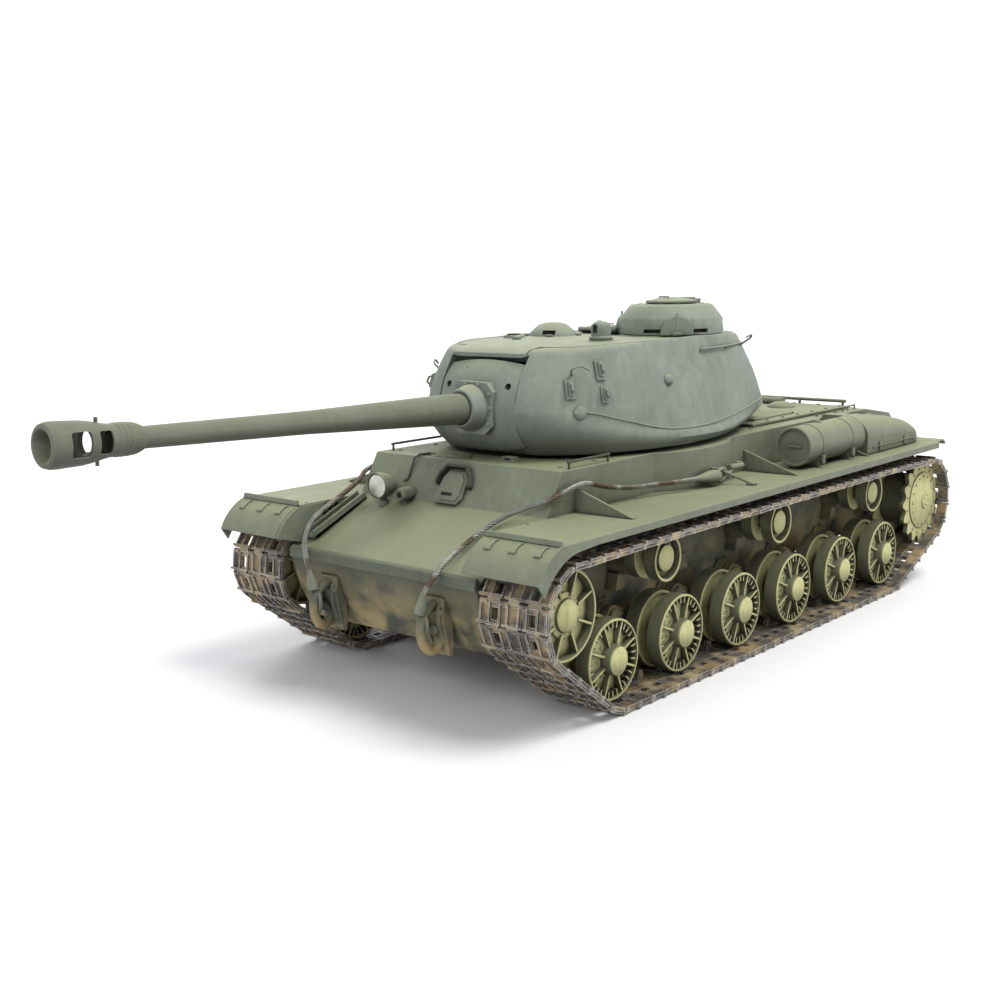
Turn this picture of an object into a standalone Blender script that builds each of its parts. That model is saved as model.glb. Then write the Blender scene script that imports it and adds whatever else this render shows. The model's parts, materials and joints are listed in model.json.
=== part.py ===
"""Remote-control heavy tank, modelled at 1/16 of the full-size vehicle.

The tank's front faces -Y, its left side faces +X and +Z is up. Lengths below are in millimetres
and are turned into metres by MM where a mesh is made. Hull coordinates have Y = 0 midway along
the road wheels; the empty named "tank" shifts them so that the origin is under the middle of the
whole length, gun included.
"""

import math

import bmesh
import bpy
from mathutils import Vector

MM = 0.001
SCALE = 16.0

# Driving dimensions
TRACK_OUTER_X = 1626 / SCALE
TRACK_WIDTH = 608 / SCALE
TRACK_X = TRACK_OUTER_X - TRACK_WIDTH / 2
HULL_HALF = 60.0
WALL = 2.5
FLOOR_Z = 28.0
SPLIT_Z = 61.7
FENDER_Z = 84.0
FENDER_THICK = 1.5
ROOF_Z = 104.0
REAR_Y = 221.0
GAP = 0.35

WHEEL_RADIUS = 300 / SCALE
WHEEL_PITCH = 874 / SCALE
WHEEL_HALF_WIDTH = 10.3
ROLLER_RADIUS = 11.0
IDLER_RADIUS = 20.5
SPROCKET_TEETH = 16
SPROCKET_ROOT = 23.0
SPROCKET_TIP = 26.2
GUIDE_HALF = 2.6
TRACK_THICK = 4.0
GUIDE_HEIGHT = 5.0
AXLE_RADIUS = 2.7
BORE_RADIUS = 3.4

WHEEL_Z = TRACK_THICK + GAP + WHEEL_RADIUS
IDLER_AT = (-170.0, 50.5)
SPROCKET_AT = (187.0, 48.0)
ROLLER_Y = (-92.0, 14.5, 125.0)
ROLLER_Z = 61.0
ARM_BACK = 22.0
ARM_RISE = 9.0

RING_Y = -21.0
TRUNNION_Y = -94.0
TRUNNION_Z = 128.04
REST_ELEVATION = math.radians(1.8)
MANTLET_RADIUS = 30.0
MANTLET_BACK = 25.2
MANTLET_HALF = 24.0
MUZZLE_REACH = 257.0
BRAKE_RADIUS = 8.7
CUPOLA_AT = (25.0, 10.0)
LOADER_AT = (-24.0, 14.0)
PERISCOPE_AT = (29.0, -59.0)
TURRET_TOP = 158.0
CROWN_FRONT = -48.0
CROWN_REAR = 62.0
SEAT_Z = 158.6
WALL_CAST = 5.0
ROOM_FLOOR = 121.0
BASE_Z = 106.0

GUN_FRONT = MUZZLE_REACH * math.cos(REST_ELEVATION) + BRAKE_RADIUS * math.sin(REST_ELEVATION)
ORIGIN_Y = (GUN_FRONT - TRUNNION_Y - REAR_Y) / 2

SIDES = (("left", 1), ("right", -1))

COLOURS = {
    "green_paint": ((0.25, 0.28, 0.20), 0.62, 0.0),
    "wheel_paint": ((0.33, 0.36, 0.19), 0.68, 0.0),
    "track_metal": ((0.24, 0.22, 0.19), 0.50, 0.75),
    "cable_steel": ((0.42, 0.41, 0.39), 0.38, 0.85),
    "motor_metal": ((0.55, 0.55, 0.56), 0.35, 0.80),
    "battery_wrap": ((0.06, 0.10, 0.32), 0.35, 0.0),
    "board_green": ((0.03, 0.22, 0.09), 0.45, 0.0),
}


def clear_scene():
    for item in list(bpy.data.objects):
        bpy.data.objects.remove(item)


def make_materials():
    slots = {}
    for slot, (colour, roughness, metallic) in COLOURS.items():
        material = bpy.data.materials.new(slot)
        material.use_nodes = True
        shader = material.node_tree.nodes["Principled BSDF"]
        shader.inputs["Base Color"].default_value = (*colour, 1.0)
        shader.inputs["Roughness"].default_value = roughness
        shader.inputs["Metallic"].default_value = metallic
        slots[slot] = material
    return slots


def empty(name, at, parent, tilt=0.0):
    """An empty at a point in hull coordinates, tilted about X."""
    item = bpy.data.objects.new(name, None)
    item.location = Vector(at) * MM
    item.rotation_euler = (tilt, 0.0, 0.0)
    item.parent = parent
    bpy.context.scene.collection.objects.link(item)
    return item


# ---------------------------------------------------------------- solids, in millimetres

def new_solid():
    return bmesh.new()


def add_loft(bm, rings):
    """Skin closed rings of equal point count and cap both ends."""
    made = [[bm.verts.new(point) for point in ring] for ring in rings]
    count = len(made[0])
    for lower, upper in zip(made, made[1:]):
        for k in range(count):
            n = (k + 1) % count
            bm.faces.new((lower[k], lower[n], upper[n], upper[k]))
    bm.faces.new(made[0][::-1])
    bm.faces.new(made[-1])
    return bm


def add_prism(bm, outline, axis, low, high):
    """Extrude an outline along X (outline in Y, Z), Y (outline in X, Z) or Z (outline in X, Y)."""
    def point(pair, along):
        if axis == "x":
            return (along, pair[0], pair[1])
        if axis == "y":
            return (pair[0], along, pair[1])
        return (pair[0], pair[1], along)
    return add_loft(bm, [[point(pair, along) for pair in outline] for along in (low, high)])


def add_box(bm, low, high):
    outline = ((low[0], low[1]), (high[0], low[1]), (high[0], high[1]), (low[0], high[1]))
    return add_prism(bm, outline, "z", low[2], high[2])


def circle(centre, radius, steps, start=0.0):
    return [(centre[0] + radius * math.cos(start + math.tau * k / steps),
             centre[1] + radius * math.sin(start + math.tau * k / steps)) for k in range(steps)]


def add_rod(bm, axis, centre, radius, low, high, steps=16):
    """A round bar along an axis; centre holds the other two coordinates."""
    return add_prism(bm, circle(centre, radius, steps), axis, low, high)


def add_turned(bm, profile, steps, axis="x", centre=(0.0, 0.0, 0.0)):
    """Turn a profile of (radius, along) about an axis. Radius 0 closes the solid on the axis."""
    frames = {"x": (Vector((0, 1, 0)), Vector((0, 0, 1)), Vector((1, 0, 0))),
              "y": (Vector((0, 0, 1)), Vector((1, 0, 0)), Vector((0, 1, 0))),
              "z": (Vector((1, 0, 0)), Vector((0, 1, 0)), Vector((0, 0, 1)))}
    side, up, along = frames[axis]
    centre = Vector(centre)
    rings = []
    for radius, distance in profile:
        base = centre + along * distance
        if radius == 0.0:
            rings.append([bm.verts.new(base)])
            continue
        ring = []
        for k in range(steps):
            angle = math.tau * k / steps
            ring.append(bm.verts.new(base + side * radius * math.cos(angle) + up * radius * math.sin(angle)))
        rings.append(ring)
    pairs = list(zip(rings, rings[1:]))
    if profile[0][0] > 0.0:
        pairs.append((rings[-1], rings[0]))
    for lower, upper in pairs:
        for k in range(steps):
            n = (k + 1) % steps
            if len(lower) == 1 and len(upper) == 1:
                continue
            if len(lower) == 1:
                bm.faces.new((lower[0], upper[n], upper[k]))
            elif len(upper) == 1:
                bm.faces.new((lower[k], lower[n], upper[0]))
            else:
                bm.faces.new((lower[k], lower[n], upper[n], upper[k]))
    return bm


def finish(bm):
    bmesh.ops.recalc_face_normals(bm, faces=bm.faces)
    bmesh.ops.scale(bm, vec=(MM, MM, MM), verts=bm.verts)
    return bm


def make(name, bm, slot, parent, at=(0.0, 0.0, 0.0)):
    """Turn a solid into an object whose origin is at a point of its parent's frame."""
    bmesh.ops.translate(bm, vec=-Vector(at), verts=bm.verts)
    finish(bm)
    mesh = bpy.data.meshes.new(name)
    bm.to_mesh(mesh)
    bm.free()
    mesh.shade_smooth()
    mesh.set_sharp_from_angle(angle=math.radians(35))
    item = bpy.data.objects.new(name, mesh)
    item.location = Vector(at) * MM
    item.parent = parent
    bpy.context.scene.collection.objects.link(item)
    if slot:
        material = SLOTS[slot].copy()
        material.name = name
        mesh.materials.append(material)
    return item


def boolean(target, bm, operation):
    """Cut a solid out of an object, or join it on. The solid is in the parent frame's millimetres."""
    tool = make(target.name + "_" + operation.lower(), bm, None, target.parent)
    tool.hide_render = True
    tool.display_type = "WIRE"
    modifier = target.modifiers.new(tool.name, "BOOLEAN")
    modifier.operation = operation
    modifier.solver = "EXACT"
    modifier.use_self = True
    modifier.object = tool


def join(target, bm):
    boolean(target, bm, "UNION")


def cut(target, bm):
    boolean(target, bm, "DIFFERENCE")


def arc(centre, radius, start, end, steps):
    """Points on an arc, with angles in degrees from the first axis."""
    angles = [math.radians(start + (end - start) * k / steps) for k in range(steps + 1)]
    return [(centre[0] + radius * math.cos(a), centre[1] + radius * math.sin(a)) for a in angles]


def span(side, low, high):
    """Two distances from the middle plane as an ordered pair of X values on one side of the tank."""
    return sorted((side * low, side * high))


# ---------------------------------------------------------------- hull

NOSE = [(-177.0, FLOOR_Z), (-186.0, 45.0), (-191.0, SPLIT_Z - 0.2)]
TAIL = [(214.0, SPLIT_Z - 0.2), (214.0, 44.0), (200.0, FLOOR_Z)]
GLACIS = [(-191.0, SPLIT_Z + 0.2), (-143.0, FENDER_Z), (-131.0, ROOF_Z)]
TAIL_DECK = [(178.0, ROOF_Z), (212.0, 98.5), (REAR_Y, 91.0), (REAR_Y, 76.0), (214.0, SPLIT_Z + 0.2)]
DECK_HALF = 50.0
DECK_FRONT = 56.0
DECK_REAR = 172.0


def wheel_y(number):
    return WHEEL_PITCH * (number - 3.5)


def arm_pivot(number):
    """Pivot of a swing arm (y, z), ahead of its wheel and a little above the axle."""
    return (wheel_y(number) - ARM_BACK, WHEEL_Z + ARM_RISE)


def lower_hull(root):
    bm = add_prism(new_solid(), NOSE + TAIL, "x", -HULL_HALF, HULL_HALF)
    hull = make("lower_hull", bm, "green_paint", root)
    inside = [(-171.0, FLOOR_Z + WALL), (-179.0, 45.0), (-184.0, SPLIT_Z + 1.0),
              (210.0, SPLIT_Z + 1.0), (210.0, 45.0), (197.0, FLOOR_Z + WALL)]
    bosses = new_solid()
    holes = add_prism(new_solid(), inside, "x", WALL - HULL_HALF, HULL_HALF - WALL)
    for _, side in SIDES:
        for number in range(1, 7):
            pivot = arm_pivot(number)
            add_rod(bosses, "x", pivot, 6.0, *span(side, HULL_HALF - 1.5, 64.0), steps=10)
            add_rod(holes, "x", pivot, BORE_RADIUS, *span(side, 58.6, 66.0), steps=8)
        for y in ROLLER_Y:
            add_rod(bosses, "x", (y, ROLLER_Z - 6.0), 5.0, *span(side, HULL_HALF - 1.5, 70.0), steps=10)
            add_rod(bosses, "x", (y, ROLLER_Z), 2.2, *span(side, 66.0, 87.0), steps=8)
        add_rod(bosses, "x", IDLER_AT, 8.0, *span(side, HULL_HALF - 1.5, 71.5), steps=12)
        add_rod(bosses, "x", IDLER_AT, AXLE_RADIUS, *span(side, 70.0, 88.0), steps=8)
        add_rod(bosses, "x", SPROCKET_AT, 12.5, *span(side, HULL_HALF - 1.5, 70.0), steps=16)
        add_rod(holes, "x", SPROCKET_AT, BORE_RADIUS, *span(side, 50.0, 72.0), steps=8)
        hook = [(-183.0, 34.0), (-193.5, 33.0), (-196.0, 38.0), (-193.5, 43.0), (-190.0, 46.5), (-185.5, 49.0)]
        add_prism(bosses, hook, "x", *span(side, 31.5, 36.5))
    join(hull, bosses)
    cut(hull, holes)


def fender_outline():
    """Side view of a fender: sloping front flap, flat top and a curved mudflap at the rear."""
    top = [(-202.0, 68.0), (-184.0, FENDER_Z), (193.0, FENDER_Z), (199.0, 85.6), (206.0, 82.6)]
    low = [(205.0, 81.4), (199.0, 84.2), (193.0, FENDER_Z - FENDER_THICK),
           (-183.4, FENDER_Z - FENDER_THICK), (-200.6, 67.2)]
    return top + low


def lip_outline():
    """Side view of the turned-down outer edge, which follows the track round the front."""
    curve = arc(IDLER_AT, 29.5, 92.0, 154.0, 6)
    return [(193.0, FENDER_Z), (193.0, 80.5)] + [(-160.0, 80.5)] + curve + [(-201.4, 67.6), (-184.0, FENDER_Z)]


def upper_hull(root):
    outline = GLACIS + TAIL_DECK
    bm = add_prism(new_solid(), outline, "x", -HULL_HALF, HULL_HALF)
    hull = make("upper_hull", bm, "green_paint", root)
    fenders = new_solid()
    rims = new_solid()
    for _, side in SIDES:
        add_prism(fenders, fender_outline(), "x", *span(side, HULL_HALF - 1.5, TRACK_OUTER_X))
        add_prism(rims, lip_outline(), "x", *span(side, TRACK_OUTER_X - 1.1, TRACK_OUTER_X + 0.3))
        for y in (-121.0, 29.0, 114.4):
            gusset = [(side * (HULL_HALF - 1.0), 83.0), (side * 90.0, 83.0), (side * 90.0, 84.6),
                      (side * (HULL_HALF - 1.0), 95.5)]
            add_prism(rims, gusset, "y", y - 0.6, y + 0.6)
        add_prism(rims, [(-200.0, 66.5), (-183.0, 83.5), (-170.0, 83.5), (-176.0, 66.5)],
                  "x", *span(side, HULL_HALF - 0.8, HULL_HALF + 0.8))
    join(hull, fenders)
    join(hull, rims)
    swell = new_solid()
    for _, side in SIDES:
        curve = arc((0.0, RING_Y), 70.0, -31.0, 31.0, 8)
        outline = [(side * x, y) for x, y in curve] + [(side * 57.0, RING_Y + 36.0), (side * 57.0, RING_Y - 36.0)]
        add_prism(swell, outline, "z", 83.2, ROOF_Z - 0.4)
    add_turned(swell, [(0.0, 105.7), (4.0, 105.5), (6.2, 104.8), (6.6, 103.2), (0.0, 103.2)], 14, "z",
               (-12.6, -120.0, 0.0))
    add_box(swell, (15.0, -122.5, 103.2), (24.0, -116.5, 106.4))
    plate = [(-141.5, 84.6), (-145.0, 86.0), (-135.6, 101.8), (-131.0, 101.6)]
    add_prism(swell, plate, "x", -8.5, 8.5)
    join(hull, swell)
    inside = [(-182.0, SPLIT_Z - 1.0), (-140.5, 81.8), (-129.4, ROOF_Z - WALL), (177.5, ROOF_Z - WALL),
              (210.5, 96.2), (218.0, 89.6), (218.0, 77.0), (210.5, SPLIT_Z - 1.0)]
    cut(hull, add_prism(new_solid(), inside, "x", WALL - HULL_HALF, HULL_HALF - WALL))
    openings = add_rod(new_solid(), "z", (0.0, RING_Y), 54.4, 98.0, 108.0, steps=32)
    add_box(openings, (-DECK_HALF + 3, DECK_FRONT + 3, 98.0), (DECK_HALF - 3, DECK_REAR - 3, 108.0))
    cut(hull, openings)


def engine_deck(root):
    bottom = ROOF_Z + GAP
    bm = add_box(new_solid(), (-DECK_HALF, DECK_FRONT, bottom), (DECK_HALF, DECK_REAR, bottom + 1.4))
    deck = make("engine_deck", bm, "green_paint", root)
    trim = new_solid()
    for _, side in SIDES:
        add_turned(trim, [(0.0, 109.2), (5.0, 108.6), (8.5, 106.8), (9.0, 105.0), (0.0, 105.0)], 14, "z",
                   (side * 18.0, 146.0, 0.0))
        add_box(trim, (side * 30.0 - 12.0, 77.0, 105.0), (side * 30.0 + 12.0, 118.0, 106.6))
    add_turned(trim, [(0.0, 108.0), (9.0, 107.4), (13.0, 106.0), (13.4, 105.0), (0.0, 105.0)], 20, "z",
               (0.0, 92.0, 0.0))
    join(deck, trim)


def headlight(root):
    centre = (-38.0, 0.0, 91.0)
    profile = [(0.0, -154.0), (5.0, -153.6), (6.2, -152.4), (6.5, -149.6), (5.2, -145.6), (2.6, -142.8), (0.0, -142.2)]
    lamp = make("headlight", add_turned(new_solid(), profile, 18, "y", centre), "green_paint", root,
                (-38.0, -148.0, 91.0))
    post = add_box(new_solid(), (-39.4, -149.8, 82.6), (-36.6, -147.0, 86.5))
    join(lamp, post)


def fuel_drum(name, side, root):
    """A short drum lying on the fender, with recessed ends and two saddle feet."""
    radius = 10.8
    centre = (side * 80.2, 0.0, FENDER_Z + 1.6 + radius)
    profile = [(0.0, 49.5), (9.6, 49.5), (9.6, 46.8), (radius, 46.8), (radius, 112.0), (9.6, 112.0),
               (9.6, 109.4), (0.0, 109.4)]
    drum = make(name, add_turned(new_solid(), profile, 22, "y", centre), "green_paint", root, (side * 80.2, 79.0, 0.0))
    feet = new_solid()
    for y in (62.0, 98.0):
        add_box(feet, (side * 80.2 - 7.0, y - 1.6, FENDER_Z + GAP), (side * 80.2 + 7.0, y + 1.6, FENDER_Z + 4.2))
    join(drum, feet)


def fender_bin(name, side, root):
    """A stowage bin behind the drum. Its lid has a wide outer shoulder and falls towards the tail."""
    rings = []
    for y, top, shoulder, outer in ((118.0, 106.4, 12.0, 90.0), (176.0, 100.6, 9.5, 90.0),
                                    (188.0, 97.5, 8.0, 89.0), (192.6, 93.5, 6.0, 86.0)):
        inner = HULL_HALF + GAP
        base = FENDER_Z + GAP
        curve = arc((outer - 16.0, top - shoulder), 1.0, 90.0, 0.0, 5)
        centre = (outer - 16.0, top - shoulder)
        arch = [(centre[0] + (x - centre[0]) * 16.0, centre[1] + (z - centre[1]) * shoulder) for x, z in curve]
        section = [(inner, base), (inner, top)] + arch + [(outer, base)]
        rings.append([(side * x, y, z) for x, z in section])
    make(name, add_loft(new_solid(), rings), "green_paint", root)


CABLE_RADIUS = 1.3
LEFT_CABLE = [(34.5, -199.0, 51.0), (37.0, -198.4, 58.0), (40.5, -195.6, 65.0), (39.5, -186.5, 69.8),
              (37.0, -174.0, 73.4), (37.5, -161.0, 79.0), (43.0, -151.0, 84.6), (50.5, -146.2, 88.4),
              (58.6, -142.6, 91.6), (63.0, -134.6, 94.8), (63.6, -124.0, 97.0), (63.4, -115.0, 96.6), (63.8, -100.0, 93.0),
              (64.6, -82.0, 90.4), (66.4, -64.0, 89.6), (70.4, -50.0, 89.4), (73.0, -38.0, 89.4),
              (73.6, -30.0, 89.4)]
RIGHT_CABLE = [(-34.5, -199.0, 51.0), (-38.0, -198.2, 57.0), (-43.5, -195.4, 64.0), (-48.6, -190.6, 71.0),
               (-51.6, -183.0, 77.6), (-52.2, -172.0, 83.0), (-53.0, -160.0, 87.6), (-56.0, -148.0, 91.6),
               (-61.8, -137.0, 95.0), (-63.2, -124.0, 97.4), (-63.4, -115.0, 96.6), (-63.8, -100.0, 93.0),
               (-64.6, -82.0, 90.4), (-66.4, -64.0, 89.6), (-70.4, -50.0, 89.4), (-73.0, -38.0, 89.4),
               (-73.6, -30.0, 89.4)]


def smooth_route(points, parts):
    """Points on a smooth curve through the given ones, several to each stretch."""
    route = []
    places = [Vector(point) for point in points]
    for k in range(len(places) - 1):
        before = places[max(k - 1, 0)]
        start, end = places[k], places[k + 1]
        after = places[min(k + 2, len(places) - 1)]
        for part in range(parts):
            t = part / parts
            route.append(0.5 * ((2 * start) + (end - before) * t
                                + (2 * before - 5 * start + 4 * end - after) * t * t
                                + (3 * start - before - 3 * end + after) * t ** 3))
    route.append(places[-1])
    return route


def tow_cable(name, points, root):
    curve = bpy.data.curves.new(name, "CURVE")
    curve.dimensions = "3D"
    curve.bevel_depth = CABLE_RADIUS * MM
    curve.bevel_resolution = 2
    curve.use_fill_caps = True
    route = smooth_route(points, 2)
    spline = curve.splines.new("POLY")
    spline.points.add(len(route) - 1)
    for target, place in zip(spline.points, route):
        target.co = (*(place * MM), 1.0)
    material = SLOTS["cable_steel"].copy()
    material.name = name
    curve.materials.append(material)
    item = bpy.data.objects.new(name, curve)
    item.parent = root
    bpy.context.scene.collection.objects.link(item)


# ---------------------------------------------------------------- running gear

def swing_arm(name, number, side, root):
    pivot = arm_pivot(number)
    axle = (wheel_y(number), WHEEL_Z)
    bm = new_solid()
    angle = math.degrees(math.atan2(axle[1] - pivot[1], axle[0] - pivot[0]))
    plate = arc(pivot, 5.2, angle + 90.0, angle + 270.0, 5) + arc(axle, 4.6, angle - 90.0, angle + 90.0, 5)
    add_prism(bm, plate, "x", *span(side, 64.4, 69.6))
    arm = make(name, bm, "green_paint", root, (side * 67.0, *pivot))
    pins = add_rod(new_solid(), "x", pivot, AXLE_RADIUS, *span(side, 59.0, 66.0), steps=8)
    add_rod(pins, "x", axle, AXLE_RADIUS, *span(side, 68.0, 87.0), steps=8)
    join(arm, pins)


def disc_profile(radius, rim, hub, cap, bore, half):
    """Half-section of a twin-disc wheel: blind hub bore, centre groove for the track guides."""
    web = half - 3.2
    return [(0.0, half + cap), (hub - 1.6, half + cap - 1.0), (hub, web), (radius - rim, web), (radius - rim, half),
            (radius, half), (radius, GUIDE_HALF), (hub + 0.8, GUIDE_HALF), (hub + 0.8, -GUIDE_HALF),
            (radius, -GUIDE_HALF), (radius, -half), (bore, -half), (bore, half - 4.0), (0.0, half - 4.0)]


def mirrored(profile, side):
    return [(radius, side * along) for radius, along in profile]


def road_wheel(name, number, side, root):
    profile = disc_profile(WHEEL_RADIUS, 2.7, 7.2, 3.7, BORE_RADIUS, WHEEL_HALF_WIDTH)
    centre = (side * TRACK_X, wheel_y(number), WHEEL_Z)
    make(name, add_turned(new_solid(), mirrored(profile, side), 14, "x", centre), "wheel_paint", root, centre)


def return_roller(name, number, side, root):
    profile = disc_profile(ROLLER_RADIUS, 2.0, 4.2, -0.6, 2.8, 9.0)
    centre = (side * TRACK_X, ROLLER_Y[number - 1], ROLLER_Z)
    make(name, add_turned(new_solid(), mirrored(profile, side), 12, "x", centre), "wheel_paint", root, centre)


def idler(name, side, root):
    profile = disc_profile(IDLER_RADIUS, 2.4, 8.6, 1.2, BORE_RADIUS, WHEEL_HALF_WIDTH)
    centre = (side * TRACK_X, *IDLER_AT)
    make(name, add_turned(new_solid(), mirrored(profile, side), 18, "x", centre), "wheel_paint", root, centre)


def toothed_outline():
    """A ring of square teeth with a flat root between them."""
    points = []
    step = math.tau / SPROCKET_TEETH
    for tooth in range(SPROCKET_TEETH):
        middle = math.pi / 2 + tooth * step
        for offset, radius in ((-0.36, SPROCKET_ROOT), (-0.15, SPROCKET_TIP), (0.15, SPROCKET_TIP),
                               (0.36, SPROCKET_ROOT)):
            angle = middle + offset * step
            points.append((SPROCKET_AT[0] + radius * math.cos(angle), SPROCKET_AT[1] + radius * math.sin(angle)))
    return points


TOOTH_INNER = 8.6
TOOTH_OUTER = 11.4


def sprocket(name, side, root):
    centre = (side * TRACK_X, *SPROCKET_AT)
    profile = [(0.0, 14.6), (8.0, 14.2), (11.8, 12.6), (12.4, 10.0), (16.0, 9.0), (16.0, -9.0), (9.0, -11.4),
               (AXLE_RADIUS, -11.4), (AXLE_RADIUS, -34.0), (0.0, -34.0)]
    hub = make(name, add_turned(new_solid(), mirrored(profile, side), 16, "x", centre), "wheel_paint", root, centre)
    rings = new_solid()
    for middle in (TRACK_X + 10.0, TRACK_X - 10.0):
        add_prism(rings, toothed_outline(), "x", *span(side, middle - 1.4, middle + 1.4))
    join(hub, rings)


def track_path():
    """Points round the inner face of the belt with their outward normals, anticlockwise from the front."""
    rounds = ((IDLER_AT, IDLER_RADIUS + GAP), ((wheel_y(1), WHEEL_Z), WHEEL_RADIUS + GAP),
              ((wheel_y(6), WHEEL_Z), WHEEL_RADIUS + GAP), (SPROCKET_AT, SPROCKET_ROOT + GAP),
              ((ROLLER_Y[2], ROLLER_Z), ROLLER_RADIUS + GAP), ((ROLLER_Y[0], ROLLER_Z), ROLLER_RADIUS + GAP))
    tangents = []
    for k, (first, radius) in enumerate(rounds):
        second, other = rounds[(k + 1) % len(rounds)]
        gap_y, gap_z = second[0] - first[0], second[1] - first[1]
        span = math.hypot(gap_y, gap_z)
        direction = math.atan2(gap_z, gap_y)
        lean = math.acos((radius - other) / span)
        tangents.append(direction - lean)
    path = []
    for k, (centre, radius) in enumerate(rounds):
        start, end = tangents[k - 1], tangents[k]
        sweep = (end - start) % math.tau
        steps = max(1, round(sweep / math.radians(18)))
        for step in range(steps + 1):
            angle = start + sweep * step / steps
            normal = (math.cos(angle), math.sin(angle))
            path.append(((centre[0] + radius * normal[0], centre[1] + radius * normal[1]), normal))
    return path


def track_section():
    """Across the belt: (offset from the middle, height above the inner face, inwards positive)."""
    half = TRACK_WIDTH / 2
    groove_in, groove_out = TOOTH_INNER - 0.6, TOOTH_OUTER + 0.6
    right = [(1.2, GUIDE_HEIGHT - 0.6), (1.8, 0.0), (groove_in, 0.0), (groove_in, -3.3), (groove_out, -3.3),
             (groove_out, 0.0), (half, 0.0), (half, -TRACK_THICK)]
    return right + [(-x, z) for x, z in right[::-1]]


def track(name, side, root):
    rings = []
    for (y, z), normal in track_path():
        ring = []
        for offset, height in track_section():
            ring.append((side * TRACK_X + offset, y - normal[0] * height, z - normal[1] * height))
        rings.append(ring)
    bm = new_solid()
    made = [[bm.verts.new(point) for point in ring] for ring in rings]
    count = len(made[0])
    for k in range(len(made)):
        lower, upper = made[k], made[(k + 1) % len(made)]
        for n in range(count):
            bm.faces.new((lower[n], lower[(n + 1) % count], upper[(n + 1) % count], upper[n]))
    make(name, bm, "track_metal", root)


# ---------------------------------------------------------------- turret

def outline_at(level):
    """Half outlines of the turret, front to rear, as (x, y from the ring centre, z)."""
    base = [(0.0, -88.0, BASE_Z), (15.0, -88.0, BASE_Z), (29.0, -85.5, BASE_Z), (43.0, -74.0, BASE_Z),
            (54.0, -54.0, BASE_Z), (61.5, -28.0, BASE_Z), (63.6, 4.0, BASE_Z), (59.0, 32.0, BASE_Z),
            (48.0, 56.0, BASE_Z), (30.0, 66.0, BASE_Z), (14.0, 68.0, BASE_Z), (0.0, 68.5, BASE_Z)]
    belt = [(0.0, -103.0, 128.0), (16.0, -102.6, 128.0), (30.0, -99.0, 127.6), (43.0, -89.0, 126.0),
            (54.5, -64.0, 120.5), (62.5, -32.0, 115.6), (65.4, 2.0, 113.6), (62.0, 36.0, 113.0),
            (53.0, 72.0, 113.6), (38.0, 108.0, 116.0), (19.0, 114.0, 116.6), (0.0, 115.0, 116.8)]
    roof = [(0.0, -90.0, 154.2), (12.0, -90.0, 154.2), (22.5, -89.5, 154.2), (35.5, -82.0, 154.6),
            (46.0, -64.0, 155.2), (51.4, -38.0, 156.4), (52.5, -8.0, 157.4), (51.5, 30.0, 157.4),
            (47.0, 60.0, 156.4), (30.0, 90.0, 154.6), (15.0, 94.5, 154.2), (0.0, 95.5, 154.0)]
    return (base, belt, roof)[level]


def whole_outline(half):
    """Mirror a half outline into a closed ring."""
    return [(x, y, z) for x, y, z in half] + [(-x, y, z) for x, y, z in half[-2:0:-1]]


def blend_outline(first, second, share, bulge):
    """Points part of the way from one ring to the next, pushed outwards from the ring's centre."""
    ring = []
    for a, b in zip(first, second):
        x, y, z = (p + (q - p) * share for p, q in zip(a, b))
        ring.append((x * (1 + bulge), y * (1 + bulge), z))
    return ring


def turret_rings(inset, drop, foot):
    """Level rings of the turret body. The inside surface is inset, with its roof dropped and its foot lowered."""
    base, belt, roof = (whole_outline(outline_at(level)) for level in range(3))
    brow = [(x * 0.96, y * 0.965, min(z + 2.2, TURRET_TOP - 0.2)) for x, y, z in roof]
    crown = [(x * 0.88, min(max(y, CROWN_FRONT), CROWN_REAR), TURRET_TOP) for x, y, _ in roof]
    lowered = [(x, y, foot) for x, y, _ in base]
    rings = [lowered, blend_outline(base, belt, 0.45, 0.035), belt, blend_outline(belt, roof, 0.5, 0.02)]
    rings += [[(x, y, z - drop) for x, y, z in ring] for ring in (roof, brow, crown)]
    shaped = []
    for ring in rings:
        points = []
        for x, y, z in ring:
            shrink = 1.0 - inset / math.hypot(x, y)
            points.append((x * shrink, RING_Y + y * shrink, z))
        shaped.append(points)
    return shaped


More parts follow.
